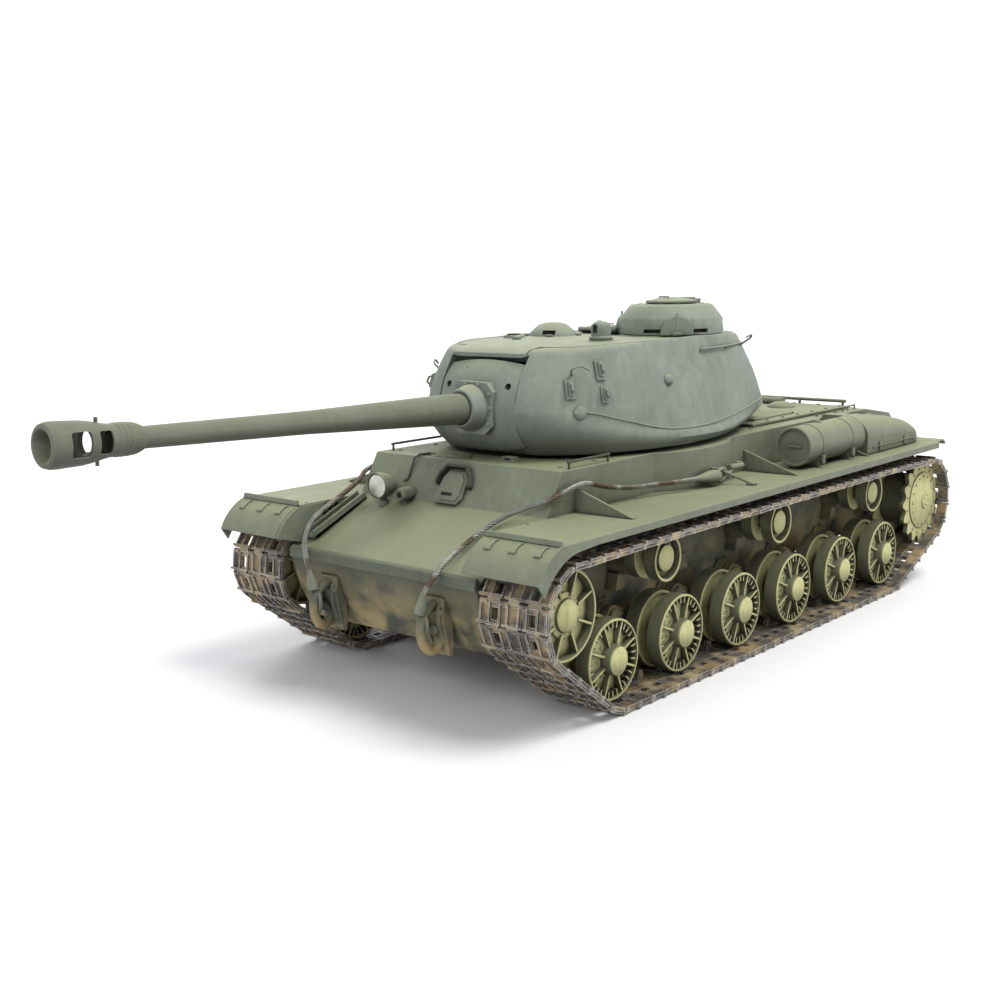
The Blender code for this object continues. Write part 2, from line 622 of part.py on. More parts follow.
def turret_shell(root, ring_centre):
    body = add_loft(new_solid(), turret_rings(0.0, 0.0, BASE_Z))
    bmesh.ops.triangulate(body, faces=body.faces)
    shell = make("turret_shell", body, "green_paint", root, ring_centre)
    lip = new_solid()
    for at, radius in ((CUPOLA_AT, 27.6), (LOADER_AT, 15.0)):
        add_rod(lip, "z", at, radius, 150.0, SEAT_Z, steps=24)
    add_rod(lip, "z", PERISCOPE_AT, 7.0, 150.0, SEAT_Z, steps=14)
    add_turned(lip, [(0.0, 165.4), (7.0, 164.4), (12.6, 160.0), (13.4, 152.0), (0.0, 152.0)], 18, "z",
               (-28.0, -26.0, 0.0))
    add_turned(lip, [(0.0, 160.2), (5.0, 159.8), (6.4, 158.4), (6.4, 152.0), (0.0, 152.0)], 14, "z",
               (-32.0, -54.0, 0.0))
    join(shell, lip)
    rings = turret_rings(WALL_CAST, 3.6, BASE_Z)
    rings = [[(x * 0.97, y, ROOM_FLOOR) for x, y, _ in rings[2]]] + rings[4:]
    room = add_loft(new_solid(), rings)
    bmesh.ops.triangulate(room, faces=room.faces)
    cut(shell, room)
    cut(shell, add_rod(new_solid(), "z", (0.0, RING_Y), 50.0, BASE_Z - 3.0, ROOM_FLOOR + 2.0, steps=32))
    cut(shell, add_box(new_solid(), (-13.4, -124.0, 109.6), (13.4, -60.0, 149.6)))
    window = add_prism(new_solid(), arc((TRUNNION_Y, TRUNNION_Z), MANTLET_BACK - 0.6, 119.0, 228.0, 12)
                       + arc((TRUNNION_Y, TRUNNION_Z), MANTLET_RADIUS + 20.0, 228.0, 126.0, 6)
                       + arc((TRUNNION_Y, TRUNNION_Z), MANTLET_RADIUS + 0.5, 126.0, 119.0, 2), "x",
                       -MANTLET_HALF - 0.6, MANTLET_HALF + 0.6)
    cut(shell, window)
    ports = add_rod(new_solid(), "z", CUPOLA_AT, 20.0, 146.0, 162.0, steps=24)
    add_rod(ports, "z", LOADER_AT, 11.5, 146.0, 162.0, steps=20)
    add_rod(ports, "z", PERISCOPE_AT, 3.5, 146.0, 162.0, steps=12)
    cut(shell, ports)
    bearings = new_solid()
    for _, side in SIDES:
        outline = [(-100.0, 121.0), (-88.0, 121.0), (-88.0, 154.4), (-100.0, 153.4)]
        add_prism(bearings, outline, "x", *span(side, 25.0, 30.0))
    join(shell, bearings)
    pins = add_rod(new_solid(), "x", (TRUNNION_Y, TRUNNION_Z), 4.0 + GAP, -34.0, 34.0, steps=16)
    cut(shell, pins)


def turret_ring(root, ring_centre):
    """The ring under the turret: a flange on the hull roof and a toothed skirt through the opening."""
    profile = [(46.0, 96.0), (53.4, 96.0), (53.4, 104.4), (58.0, 104.4), (58.0, BASE_Z - 0.3), (46.0, BASE_Z - 0.3)]
    make("turret_ring", add_turned(new_solid(), profile, 32, "z", (0.0, RING_Y, 0.0)), "motor_metal", root,
         ring_centre)


def cupola(root):
    base = SEAT_Z + GAP
    profile = [(27.4, base), (27.4, 167.0), (22.0, 173.8), (20.5, 174.4), (12.6, 174.4), (12.6, 171.8),
               (19.5, 171.8), (24.4, 165.6), (24.4, base)]
    centre = (*CUPOLA_AT, 0.0)
    drum = make("cupola", add_turned(new_solid(), profile, 20, "z", centre), "green_paint", root, centre)
    room = add_rod(new_solid(), "z", CUPOLA_AT, 23.0, 150.0, 164.0, steps=20)
    cut(drum, room)


def hatch(name, at, radius, seat, height, hinge_side, root):
    """A domed round lid with its hinge knuckle at the front (-1) or rear (1)."""
    hinge_y = at[1] + hinge_side * (radius + 2.4)
    hinge_z = seat + 1.6
    profile = [(0.0, seat), (radius, seat), (radius, seat + 1.4), (radius * 0.66, seat + height * 0.8),
               (0.0, seat + height)]
    lid = make(name, add_turned(new_solid(), profile, 20, "z", (*at, 0.0)), "green_paint", root,
               (at[0], hinge_y, hinge_z))
    knuckle = add_rod(new_solid(), "x", (hinge_y, hinge_z), 1.3, at[0] - 4.5, at[0] + 4.5, steps=10)
    low, high = sorted((at[1] + hinge_side * (radius - 4.0), hinge_y))
    add_box(knuckle, (at[0] - 4.0, low, seat + 0.2), (at[0] + 4.0, high, seat + 1.9))
    join(lid, knuckle)


def gunner_periscope(root):
    """A tall periscope head that turns on its stem in the roof."""
    x, y = PERISCOPE_AT
    top = SEAT_Z + GAP
    profile = [(0.0, top + 9.0), (3.0, top + 8.6), (4.8, top + 7.2), (5.2, top + 1.2), (6.0, top + 1.0), (6.0, top),
               (3.0, top), (3.0, 150.0), (0.0, 150.0)]
    make("gunner_periscope", add_turned(new_solid(), profile, 16, "z", (x, y, 0.0)), "green_paint", root,
         (x, y, top))


# ---------------------------------------------------------------- gun, in the trunnion's tilted frame

def mantlet(trunnion):
    """The ball-fronted shield, the cradle behind it, the barrel's sleeve and the trunnion pins."""
    back = arc((0.0, 0.0), MANTLET_BACK, 180.0 - 49.7, 180.0 + 43.8, 10)
    rings = []
    for x in (-MANTLET_HALF, -20.0, -14.0, -7.0, 0.0, 7.0, 14.0, 20.0, MANTLET_HALF):
        radius = MANTLET_RADIUS - 3.0 * (x / MANTLET_HALF) ** 2
        face = arc((0.0, 0.0), radius, 180.0 + 43.8, 180.0 - 49.7, 10)
        rings.append([(x, y, z) for y, z in face + back])
    shield = make("mantlet", add_loft(new_solid(), rings), "green_paint", trunnion)
    cradle = add_box(new_solid(), (-12.0, -27.0, -9.2), (12.0, 20.0, 9.2))
    join(shield, cradle)
    sleeve = add_turned(new_solid(), [(0.0, -39.5), (9.0, -39.5), (9.8, -38.0), (10.2, -35.8), (12.6, -32.0),
                                      (12.6, -26.5), (0.0, -26.5)], 20, "y")
    add_rod(sleeve, "x", (0.0, 0.0), 4.0, -31.5, 31.5, steps=16)
    join(shield, sleeve)
    cut(shield, add_rod(new_solid(), "y", (0.0, 0.0), 7.4 + GAP, -46.0, 26.0, steps=20))


def gun_barrel(trunnion):
    """The tapered tube, its breech ring behind the cradle and its bore."""
    profile = [(0.0, 38.0), (9.5, 38.0), (9.5, 20.0 + GAP), (7.4, 20.0 + GAP), (7.4, -52.0), (6.6, -76.0),
               (5.0, -136.0), (4.2, -224.0), (2.8, -224.0), (2.8, -176.0), (0.0, -176.0)]
    make("gun_barrel", add_turned(new_solid(), profile, 20, "y"), "green_paint", trunnion)


def muzzle_brake(trunnion):
    """Two baffles with side windows, clamped on the end of the barrel."""
    profile = [(4.2 + GAP, -217.0), (6.0, -217.0), (6.2, -225.0), (5.2, -226.5), (5.4, -229.0), (7.8, -231.5),
               (7.8, -236.0), (8.7, -252.0), (BRAKE_RADIUS, -MUZZLE_REACH), (5.4, -MUZZLE_REACH), (5.0, -252.0),
               (4.2 + GAP, -232.0)]
    brake = make("muzzle_brake", add_turned(new_solid(), profile, 16, "y"), "green_paint", trunnion)
    windows = new_solid()
    for front, rear, half in ((-251.2, -244.0, 4.6), (-239.2, -234.2, 4.4)):
        add_box(windows, (-12.0, front, -half), (12.0, rear, half))
    cut(brake, windows)


# ---------------------------------------------------------------- inside

def drive_unit(name, side, root):
    """Gearbox with its output bore on the sprocket's axis, and a can motor in front of it."""
    y, z = SPROCKET_AT
    bm = add_box(new_solid(), (min(side * 28.0, side * 56.0), y - 14.0, 33.0),
                 (max(side * 28.0, side * 56.0), y + 11.0, 60.0))
    unit = make(name, bm, "motor_metal", root)
    join(unit, add_rod(new_solid(), "y", (side * 42.0, 46.0), 11.0, y - 52.0, y - 12.0, steps=18))
    cut(unit, add_rod(new_solid(), "x", SPROCKET_AT, AXLE_RADIUS + GAP, *span(side, 46.0, 60.0), steps=12))


def battery(root):
    outline = arc((-20.0, 44.0), 11.0, 90.0, 270.0, 6) + arc((20.0, 44.0), 11.0, -90.0, 90.0, 6)
    make("battery", add_prism(new_solid(), outline, "y", -30.0, 50.0), "battery_wrap", root)


def control_board(root):
    board = make("control_board", add_box(new_solid(), (-34.0, 62.0, 46.0), (34.0, 118.0, 47.6)), "board_green", root)
    parts = new_solid()
    for x in (-28.0, 28.0):
        for y in (68.0, 112.0):
            add_rod(parts, "z", (x, y), 2.4, FLOOR_Z + WALL + GAP, 46.6, steps=8)
    add_box(parts, (-20.0, 74.0, 47.0), (-6.0, 92.0, 51.0))
    add_box(parts, (4.0, 76.0, 47.0), (22.0, 106.0, 54.0))
    join(board, parts)


def traverse_motor(root):
    """Upright motor whose pinion runs inside the turret ring."""
    x, y = 0.0, RING_Y - 40.0
    motor = make("traverse_motor", add_rod(new_solid(), "z", (x, y), 10.0, 58.0, 88.0, steps=18), "motor_metal", root)
    pinion = add_rod(new_solid(), "z", (x, y), 4.4, 87.0, 101.0, steps=12)
    add_box(pinion, (-9.0, y - 9.0, FLOOR_Z + WALL + GAP), (9.0, y + 9.0, 59.0))
    join(motor, pinion)


clear_scene()
SLOTS = make_materials()
TANK = empty("tank", (0.0, ORIGIN_Y, 0.0), None)
lower_hull(TANK)
upper_hull(TANK)
engine_deck(TANK)
headlight(TANK)
for label, sign in SIDES:
    fuel_drum("fuel_drum_" + label, sign, TANK)
    fender_bin("fender_bin_" + label, sign, TANK)
    for count in range(1, 7):
        swing_arm(f"swing_arm_{label}_{count}", count, sign, TANK)
        road_wheel(f"road_wheel_{label}_{count}", count, sign, TANK)
    for count in range(1, 4):
        return_roller(f"return_roller_{label}_{count}", count, sign, TANK)
    idler("idler_" + label, sign, TANK)
    sprocket("sprocket_" + label, sign, TANK)
    track("track_" + label, sign, TANK)
    drive_unit("drive_unit_" + label, sign, TANK)
tow_cable("tow_cable_left", LEFT_CABLE, TANK)
tow_cable("tow_cable_right", RIGHT_CABLE, TANK)
battery(TANK)
control_board(TANK)
traverse_motor(TANK)

RING_CENTRE = (0.0, RING_Y, BASE_Z)
turret_shell(TANK, RING_CENTRE)
turret_ring(TANK, RING_CENTRE)
cupola(TANK)
hatch("cupola_hatch", CUPOLA_AT, 13.6, 174.75, 3.2, 1, TANK)
hatch("loader_hatch", LOADER_AT, 13.0, SEAT_Z + GAP, 3.2, -1, TANK)
gunner_periscope(TANK)
TRUNNION = empty("trunnion", (0.0, TRUNNION_Y, TRUNNION_Z), TANK, -REST_ELEVATION)
mantlet(TRUNNION)
gun_barrel(TRUNNION)
muzzle_brake(TRUNNION)
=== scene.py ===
"""Looks of the remote-control heavy tank: visible pieces, materials, light and camera round the CAD frame.

Shapes are given in millimetres, in hull coordinates: Y = 0 is midway along the road wheels, the
front faces -Y, the left side faces +X and the ground is Z = 0.
"""

import json
import math
import random

import bmesh
import bpy
from mathutils import Matrix, Vector
from mathutils.bvhtree import BVHTree


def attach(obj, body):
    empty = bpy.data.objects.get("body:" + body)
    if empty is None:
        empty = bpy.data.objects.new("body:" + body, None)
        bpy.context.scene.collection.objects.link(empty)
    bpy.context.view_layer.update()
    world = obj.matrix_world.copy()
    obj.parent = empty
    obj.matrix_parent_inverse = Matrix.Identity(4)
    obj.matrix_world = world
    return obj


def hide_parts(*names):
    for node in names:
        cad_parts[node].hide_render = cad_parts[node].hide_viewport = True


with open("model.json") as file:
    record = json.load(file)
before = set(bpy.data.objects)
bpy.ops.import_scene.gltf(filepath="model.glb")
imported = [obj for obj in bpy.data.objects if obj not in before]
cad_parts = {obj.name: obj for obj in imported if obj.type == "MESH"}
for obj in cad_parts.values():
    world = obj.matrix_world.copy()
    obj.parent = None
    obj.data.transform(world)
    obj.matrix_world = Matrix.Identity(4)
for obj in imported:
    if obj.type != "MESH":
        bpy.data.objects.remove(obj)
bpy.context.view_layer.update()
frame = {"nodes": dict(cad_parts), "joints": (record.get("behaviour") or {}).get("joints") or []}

MM = 0.001
SIDES = (("left", 1), ("right", -1))
JOINTS = {joint["name"]: joint for joint in frame["joints"]}
RING_Y = -21.0
ORIGIN_Y = JOINTS["turret_traverse"]["pos_m"][1] / MM - RING_Y
SHIFT = Matrix.Translation((0.0, ORIGIN_Y, 0.0))


def joint_at(name):
    """A joint's place in hull coordinates."""
    return Vector(JOINTS[name]["pos_m"]) / MM - Vector((0.0, ORIGIN_Y, 0.0))


TRUNNION = joint_at("gun_elevation")
RECOIL_AXIS = JOINTS["barrel_recoil"]["axis"]
TILT = math.atan2(RECOIL_AXIS[2], RECOIL_AXIS[1])
GUN_FRAME = SHIFT @ Matrix.Translation(TRUNNION) @ Matrix.Rotation(TILT, 4, "X")
WHEELS = {side: [joint_at(f"wheel_spin_{side}_{n}") for n in range(1, 7)] for side, _ in SIDES}
ROLLERS = {side: [joint_at(f"roller_spin_{side}_{n}") for n in range(1, 4)] for side, _ in SIDES}
IDLER = joint_at("idler_spin_left")
SPROCKET = joint_at("sprocket_spin_left")
TRACK_X = SPROCKET.x
WHEEL_RADIUS = 18.75
ROLLER_RADIUS = 11.0
IDLER_RADIUS = 20.5
TRACK_OUTER = 101.6
HULL_HALF = 60.0
FENDER_Z = 84.0
FLAP_CENTRE = (-175.9, 58.95)
FLAP_RADIUS = 26.0
FLAP_ANGLES = (109.1, 155.0)
ROOF_Z = 104.0
CUPOLA_AT = (25.0, 10.0)
LOADER_AT = (-24.0, 14.0)
PERISCOPE_AT = (29.0, -59.0)


# ---------------------------------------------------------------- materials

def add_node(tree, kind, inputs=None, **settings):
    """A shader node. Inputs may be values or other nodes' outputs."""
    node = tree.nodes.new(kind)
    for key, value in settings.items():
        setattr(node, key, value)
    for key, value in (inputs or {}).items():
        if isinstance(value, bpy.types.NodeSocket):
            tree.links.new(value, node.inputs[key])
        else:
            node.inputs[key].default_value = value
    return node


def noise(tree, place, scale, detail=3.0):
    made = add_node(tree, "ShaderNodeTexNoise", {"Vector": place, "Scale": scale, "Detail": detail})
    return made.outputs["Fac"]


def remap(tree, value, low, high, to_low=0.0, to_high=1.0):
    """A value's range stretched to another and clamped."""
    made = add_node(tree, "ShaderNodeMapRange", {"Value": value, "From Min": low, "From Max": high,
                                                 "To Min": to_low, "To Max": to_high})
    return made.outputs["Result"]


def times(tree, first, second):
    return add_node(tree, "ShaderNodeMath", {0: first, 1: second}, operation="MULTIPLY").outputs[0]


def mix(tree, share, first, second):
    """First colour blended into second by a share."""
    made = add_node(tree, "ShaderNodeMix", {0: share}, data_type="RGBA")
    for key, value in ((6, first), (7, second)):
        if isinstance(value, bpy.types.NodeSocket):
            tree.links.new(value, made.inputs[key])
        else:
            made.inputs[key].default_value = (*value, 1.0)
    return made.outputs[2]


def tint(colour, share):
    return tuple(min(1.0, part * share) for part in colour)


def edge_mask(tree, width):
    """1 along sharp edges and 0 on open faces."""
    rounded = add_node(tree, "ShaderNodeBevel", {"Radius": width}, samples=4).outputs["Normal"]
    straight = add_node(tree, "ShaderNodeNewGeometry").outputs["True Normal"]
    same = add_node(tree, "ShaderNodeVectorMath", {0: rounded, 1: straight}, operation="DOT_PRODUCT")
    return remap(tree, same.outputs["Value"], 0.97, 0.80)


def hollow_mask(tree, reach):
    """1 deep in corners and recesses, where shade falls, and 0 in the open; it masks painted shade."""
    shade = add_node(tree, "ShaderNodeAmbientOcclusion", {"Distance": reach}, samples=6)
    return remap(tree, shade.outputs["AO"], 0.85, 0.25)


OCHRE = (0.40, 0.31, 0.15)
RUST = (0.17, 0.085, 0.04)
# Colour of painted shade in corners and recesses.
RECESS_SHADE = (0.028, 0.030, 0.022)


def paint(name, colour, dust=OCHRE, dust_top=0.0, dust_foot=0.0, dust_amount=0.0, top_light_share=0.35,
          grain=0.25, lit_face_colour=None, edge=0.45, metallic=0.0):
    """Matt model paint: mottled and streaked, painted lighter and warmer on top as if lit from above, painted shade on
    undersides and in corners, dusty low down and pale on worn edges; an optional second colour paints faces turned
    sideways lighter, as if lit.
    """
    material = bpy.data.materials.new(name)
    material.use_nodes = True
    tree = material.node_tree
    shader = tree.nodes["Principled BSDF"]
    place = add_node(tree, "ShaderNodeTexCoord")
    at = place.outputs["Object"]
    broad = noise(tree, at, 28.0, 4.0)
    patch = noise(tree, at, 130.0, 5.0)
    fine = noise(tree, at, 1100.0, 4.0)
    tone = mix(tree, remap(tree, broad, 0.3, 0.7), tint(colour, 0.84), tint(colour, 1.10))
    # Painted light: faces turned sideways take the pale colour, as if lit, while the rest keeps the darker colour, as
    # if in shade.
    if lit_face_colour:
        facing = add_node(tree, "ShaderNodeSeparateXYZ", {"Vector": place.outputs["Normal"]}).outputs["X"]
        outward = add_node(tree, "ShaderNodeMath", {0: facing}, operation="ABSOLUTE").outputs[0]
        lit_face_tone = mix(tree, remap(tree, patch, 0.35, 0.65), tint(lit_face_colour, 0.8), tint(lit_face_colour, 1.12))
        tone = mix(tree, remap(tree, outward, 0.3, 0.75), tone, lit_face_tone)
    tone = mix(tree, remap(tree, patch, 0.48, 0.72, 0.0, 0.35), tone, tint(colour, 1.45))
    stretched = add_node(tree, "ShaderNodeMapping", {"Vector": at, "Scale": (260.0, 260.0, 26.0)}).outputs["Vector"]
    streaks = add_node(tree, "ShaderNodeTexNoise", {"Vector": stretched, "Scale": 1.0, "Detail": 3.0}).outputs["Fac"]
    tone = mix(tree, remap(tree, streaks, 0.52, 0.75, 0.0, 0.30), tone, tint(colour, 0.5))
    # Painted top light: faces turning upwards get a lighter, warmer colour, as if lit from above, by a given share.
    upward = add_node(tree, "ShaderNodeSeparateXYZ", {"Vector": place.outputs["Normal"]}).outputs["Z"]
    top_lit_colour = (min(1.0, colour[0] * 1.35 + 0.02), min(1.0, colour[1] * 1.28 + 0.02), colour[2] * 0.98)
    tone = mix(tree, remap(tree, upward, 0.45, 0.95, 0.0, top_light_share), tone, top_lit_colour)
    # Painted shade: faces turning downwards are darkened, as if in shade.
    tone = mix(tree, remap(tree, upward, 0.15, -0.65, 0.0, 0.8), tone, tint(colour, 0.3))
    if dust_amount:
        height = add_node(tree, "ShaderNodeSeparateXYZ", {"Vector": at}).outputs["Z"]
        low_down = remap(tree, height, dust_top * MM, dust_foot * MM)
        patchy = remap(tree, noise(tree, at, 75.0, 6.0), 0.36, 0.62)
        tone = mix(tree, times(tree, times(tree, low_down, patchy), dust_amount), tone, dust)
    # Painted shade: corners and recesses darkened by ambient occlusion.
    tone = mix(tree, times(tree, hollow_mask(tree, 0.0035), 0.75), tone, RECESS_SHADE)
    worn = times(tree, edge_mask(tree, 0.0005), remap(tree, patch, 0.35, 0.6, 0.2, edge))
    tone = mix(tree, worn, tone, tint(colour, 2.1))
    tree.links.new(tone, shader.inputs["Base Color"])
    tree.links.new(remap(tree, patch, 0.3, 0.7, 0.55, 0.78), shader.inputs["Roughness"])
    shader.inputs["Metallic"].default_value = metallic
    shader.inputs["Specular IOR Level"].default_value = 0.35
    bump = add_node(tree, "ShaderNodeBump", {"Strength": grain, "Distance": 0.0003, "Height": fine})
    tree.links.new(bump.outputs["Normal"], shader.inputs["Normal"])
    return material


def track_metal(name):
    """Cast links: dark steel, bright worn edges, rust, patches of ochre mud and painted shade in the pockets, each link
    its own tone.
    """
    material = bpy.data.materials.new(name)
    material.use_nodes = True
    tree = material.node_tree
    shader = tree.nodes["Principled BSDF"]
    at = add_node(tree, "ShaderNodeTexCoord").outputs["Object"]
    own = add_node(tree, "ShaderNodeNewGeometry").outputs["Random Per Island"]
    patch = noise(tree, at, 90.0, 5.0)
    fine = noise(tree, at, 900.0, 4.0)
    steel = mix(tree, own, (0.035, 0.034, 0.030), (0.085, 0.082, 0.072))
    tone = mix(tree, remap(tree, fine, 0.45, 0.7, 0.0, 0.5), steel, RUST)
    mud = mix(tree, own, (0.30, 0.19, 0.075), (0.46, 0.36, 0.19))
    tone = mix(tree, remap(tree, patch, 0.46, 0.60, 0.0, 0.72), tone, mud)
    # Painted shade: pockets and corners of the links darkened by ambient occlusion.
    tone = mix(tree, times(tree, hollow_mask(tree, 0.003), 0.8), tone, (0.035, 0.028, 0.018))
    worn = edge_mask(tree, 0.0007)
    tone = mix(tree, times(tree, worn, 0.9), tone, (0.78, 0.77, 0.73))
    tree.links.new(tone, shader.inputs["Base Color"])
    tree.links.new(remap(tree, worn, 0.0, 1.0, 0.0, 0.75), shader.inputs["Metallic"])
    tree.links.new(remap(tree, worn, 0.0, 1.0, 0.72, 0.34), shader.inputs["Roughness"])
    bump = add_node(tree, "ShaderNodeBump", {"Strength": 0.5, "Distance": 0.0003, "Height": fine})
    tree.links.new(bump.outputs["Normal"], shader.inputs["Normal"])
    return material


def bare_metal(name, colour, roughness, speck=RUST, speck_from=0.58):
    """Metal with dull patches and stains, and painted shade in its hollows."""
    material = bpy.data.materials.new(name)
    material.use_nodes = True
    tree = material.node_tree
    shader = tree.nodes["Principled BSDF"]
    at = add_node(tree, "ShaderNodeTexCoord").outputs["Object"]
    patch = noise(tree, at, 160.0, 5.0)
    fine = noise(tree, at, 1400.0, 3.0)
    tone = mix(tree, remap(tree, patch, 0.3, 0.7), tint(colour, 0.7), tint(colour, 1.15))
    tone = mix(tree, remap(tree, noise(tree, at, 60.0, 4.0), speck_from, speck_from + 0.08, 0.0, 0.8), tone, speck)
    # Painted shade: hollows darkened by ambient occlusion.
    tone = mix(tree, times(tree, hollow_mask(tree, 0.0015), 0.85), tone, RECESS_SHADE)
    tree.links.new(tone, shader.inputs["Base Color"])
    tree.links.new(remap(tree, patch, 0.3, 0.7, roughness, roughness + 0.2), shader.inputs["Roughness"])
    shader.inputs["Metallic"].default_value = 0.85
    bump = add_node(tree, "ShaderNodeBump", {"Strength": 0.2, "Distance": 0.0002, "Height": fine})
    tree.links.new(bump.outputs["Normal"], shader.inputs["Normal"])
    return material


GREEN = (0.195, 0.216, 0.158)
CAST_GREEN = (0.225, 0.255, 0.215)
PLATE = paint("plate_paint", GREEN, top_light_share=0.55)
CAST = paint("cast_paint", CAST_GREEN, top_light_share=0.6, grain=0.5)
GUN_PAINT = paint("gun_paint", tint(GREEN, 0.80), grain=0.15, top_light_share=0.3)
# A darker copy of the green for the lower hull, arms and fittings under the fenders: painted shade; the ochre dust low
# down is real dirt.
LOW_SHADED_PAINT = paint("lower_hull_shaded_paint", tint(GREEN, 0.60), dust_top=62.0, dust_foot=34.0, dust_amount=0.85, grain=0.4)
DARK_PAINT = paint("dark_fittings", tint(GREEN, 0.35), top_light_share=0.1)
# Wheel paint: dark green as if in shade, with pale yellow painted light on the faces turned outwards.
WHEEL_PAINT = paint("wheel_paint", (0.135, 0.140, 0.085), lit_face_colour=(0.60, 0.58, 0.28), grain=0.35, top_light_share=0.1,
                    edge=0.9)
LINK_METAL = track_metal("track_metal")
WIRE = bare_metal("cable_steel", (0.32, 0.32, 0.29), 0.42, speck=(0.10, 0.055, 0.03), speck_from=0.52)
LENS = bare_metal("lamp_cover", (0.85, 0.86, 0.78), 0.5, speck=(0.30, 0.31, 0.26))
# Near-black for slits, ports, mouths and vision glass: in the openings it is painted shade of the hollow behind.
HOLE = paint("dark_recess", (0.012, 0.012, 0.010), top_light_share=0.0, edge=0.2)
MOTOR = bare_metal("motor_metal", (0.55, 0.55, 0.56), 0.35)
SLEEVE = paint("battery_wrap", (0.04, 0.09, 0.30), top_light_share=0.0, grain=0.05)
BOARD = paint("board_green", (0.03, 0.20, 0.08), top_light_share=0.0, grain=0.1)


# ---------------------------------------------------------------- solids

def solid():
    return bmesh.new()


def loft(bm, rings, caps=True):
    """Skin closed rings of equal point count."""
    made = [[bm.verts.new(point) for point in ring] for ring in rings]
    count = len(made[0])
    for lower, upper in zip(made, made[1:]):
        for k in range(count):
            n = (k + 1) % count
            bm.faces.new((lower[k], lower[n], upper[n], upper[k]))
    if caps:
        bm.faces.new(made[0][::-1])
        bm.faces.new(made[-1])
    return made


def prism(bm, outline, axis, low, high):
    """Extrude an outline along X (outline in Y, Z), Y (outline in X, Z) or Z (outline in X, Y)."""
    orders = {"x": lambda pair, along: (along, pair[0], pair[1]),
              "y": lambda pair, along: (pair[0], along, pair[1]),
              "z": lambda pair, along: (pair[0], pair[1], along)}
    loft(bm, [[orders[axis](pair, along) for pair in outline] for along in (low, high)])
    return bm


def box(bm, low, high):
    outline = ((low[0], low[1]), (high[0], low[1]), (high[0], high[1]), (low[0], high[1]))
    return prism(bm, outline, "z", low[2], high[2])


def circle(centre, radius, steps, start=0.0):
    return [(centre[0] + radius * math.cos(start + math.tau * k / steps),
             centre[1] + radius * math.sin(start + math.tau * k / steps)) for k in range(steps)]


def rod(bm, axis, centre, radius, low, high, steps=20):
    return prism(bm, circle(centre, radius, steps), axis, low, high)


FRAMES = {"x": (Vector((0, 1, 0)), Vector((0, 0, 1)), Vector((1, 0, 0))),
          "y": (Vector((0, 0, 1)), Vector((1, 0, 0)), Vector((0, 1, 0))),
          "z": (Vector((1, 0, 0)), Vector((0, 1, 0)), Vector((0, 0, 1)))}


def turned(bm, profile, axis="x", centre=(0.0, 0.0, 0.0), steps=40):
    """Turn a profile of (radius, along) about an axis. Radius 0 closes the solid on the axis."""
    side, up, along = FRAMES[axis]
    centre = Vector(centre)
    rings = []
    for radius, distance in profile:
        base = centre + along * distance
        if radius == 0.0:
            rings.append([bm.verts.new(base)])
            continue
        turns = [math.tau * k / steps for k in range(steps)]
        rings.append([bm.verts.new(base + side * radius * math.cos(a) + up * radius * math.sin(a)) for a in turns])
    pairs = list(zip(rings, rings[1:]))
    if profile[0][0] > 0.0:
        pairs.append((rings[-1], rings[0]))
    for lower, upper in pairs:
        if len(lower) == 1 and len(upper) == 1:
            continue
        for k in range(steps):
            n = (k + 1) % steps
            if len(lower) == 1:
                bm.faces.new((lower[0], upper[n], upper[k]))
            elif len(upper) == 1:
                bm.faces.new((lower[k], lower[n], upper[0]))
            else:
                bm.faces.new((lower[k], lower[n], upper[n], upper[k]))
    return bm


def tube(bm, points, radius, steps=8, closed=False):
    """A round bar along points. A closed one joins its ends."""
    places = [Vector(point) for point in points]
    count = len(places)
    rings = []
    across = None
    for k, place in enumerate(places):
        before = places[k - 1] if k or closed else place
        after = places[(k + 1) % count] if k < count - 1 or closed else place
        along = (after - before).normalized()
        if across is None:
            across = along.orthogonal().normalized()
        across = (across - along * across.dot(along)).normalized()
        other = along.cross(across)
        turns = [math.tau * n / steps for n in range(steps)]
        rings.append([place + across * radius * math.cos(a) + other * radius * math.sin(a) for a in turns])
    if closed:
        made = [[bm.verts.new(point) for point in ring] for ring in rings]
        for k in range(count):
            lower, upper = made[k], made[(k + 1) % count]
            for n in range(steps):
                m = (n + 1) % steps
                bm.faces.new((lower[n], lower[m], upper[m], upper[n]))
    else:
        loft(bm, rings)
    return bm


def arc(centre, radius, start, end, steps):
    angles = [math.radians(start + (end - start) * k / steps) for k in range(steps + 1)]
    return [(centre[0] + radius * math.cos(a), centre[1] + radius * math.sin(a)) for a in angles]


def span(side, low, high):
    return sorted((side * low, side * high))


def bolt(bm, place, axis, radius=0.9, height=0.7, steps=6):
    """A hexagonal bolt head standing on a point, towards +axis or, for a negative height, away from it."""
    side, up, along = FRAMES[axis]
    place = Vector(place)
    rings = []
    for share, reach in ((1.0, -0.3), (1.0, 0.7), (0.75, 1.0)):
        base = place + along * height * reach
        turns = [math.tau * k / steps for k in range(steps)]
        rings.append([base + (side * math.cos(a) + up * math.sin(a)) * radius * share for a in turns])
    loft(bm, rings)
    return bm


def new_object(name, bm, material, scale=MM, matrix=SHIFT):
    bmesh.ops.recalc_face_normals(bm, faces=bm.faces)
    bmesh.ops.transform(bm, matrix=Matrix.Scale(scale, 4) @ matrix, verts=bm.verts)
    mesh = bpy.data.meshes.new(name)
    bm.to_mesh(mesh)
    bm.free()
    mesh.shade_smooth()
    mesh.set_sharp_from_angle(angle=math.radians(32))
    mesh.materials.append(material)
    item = bpy.data.objects.new(name, mesh)
    bpy.context.scene.collection.objects.link(item)
    return item


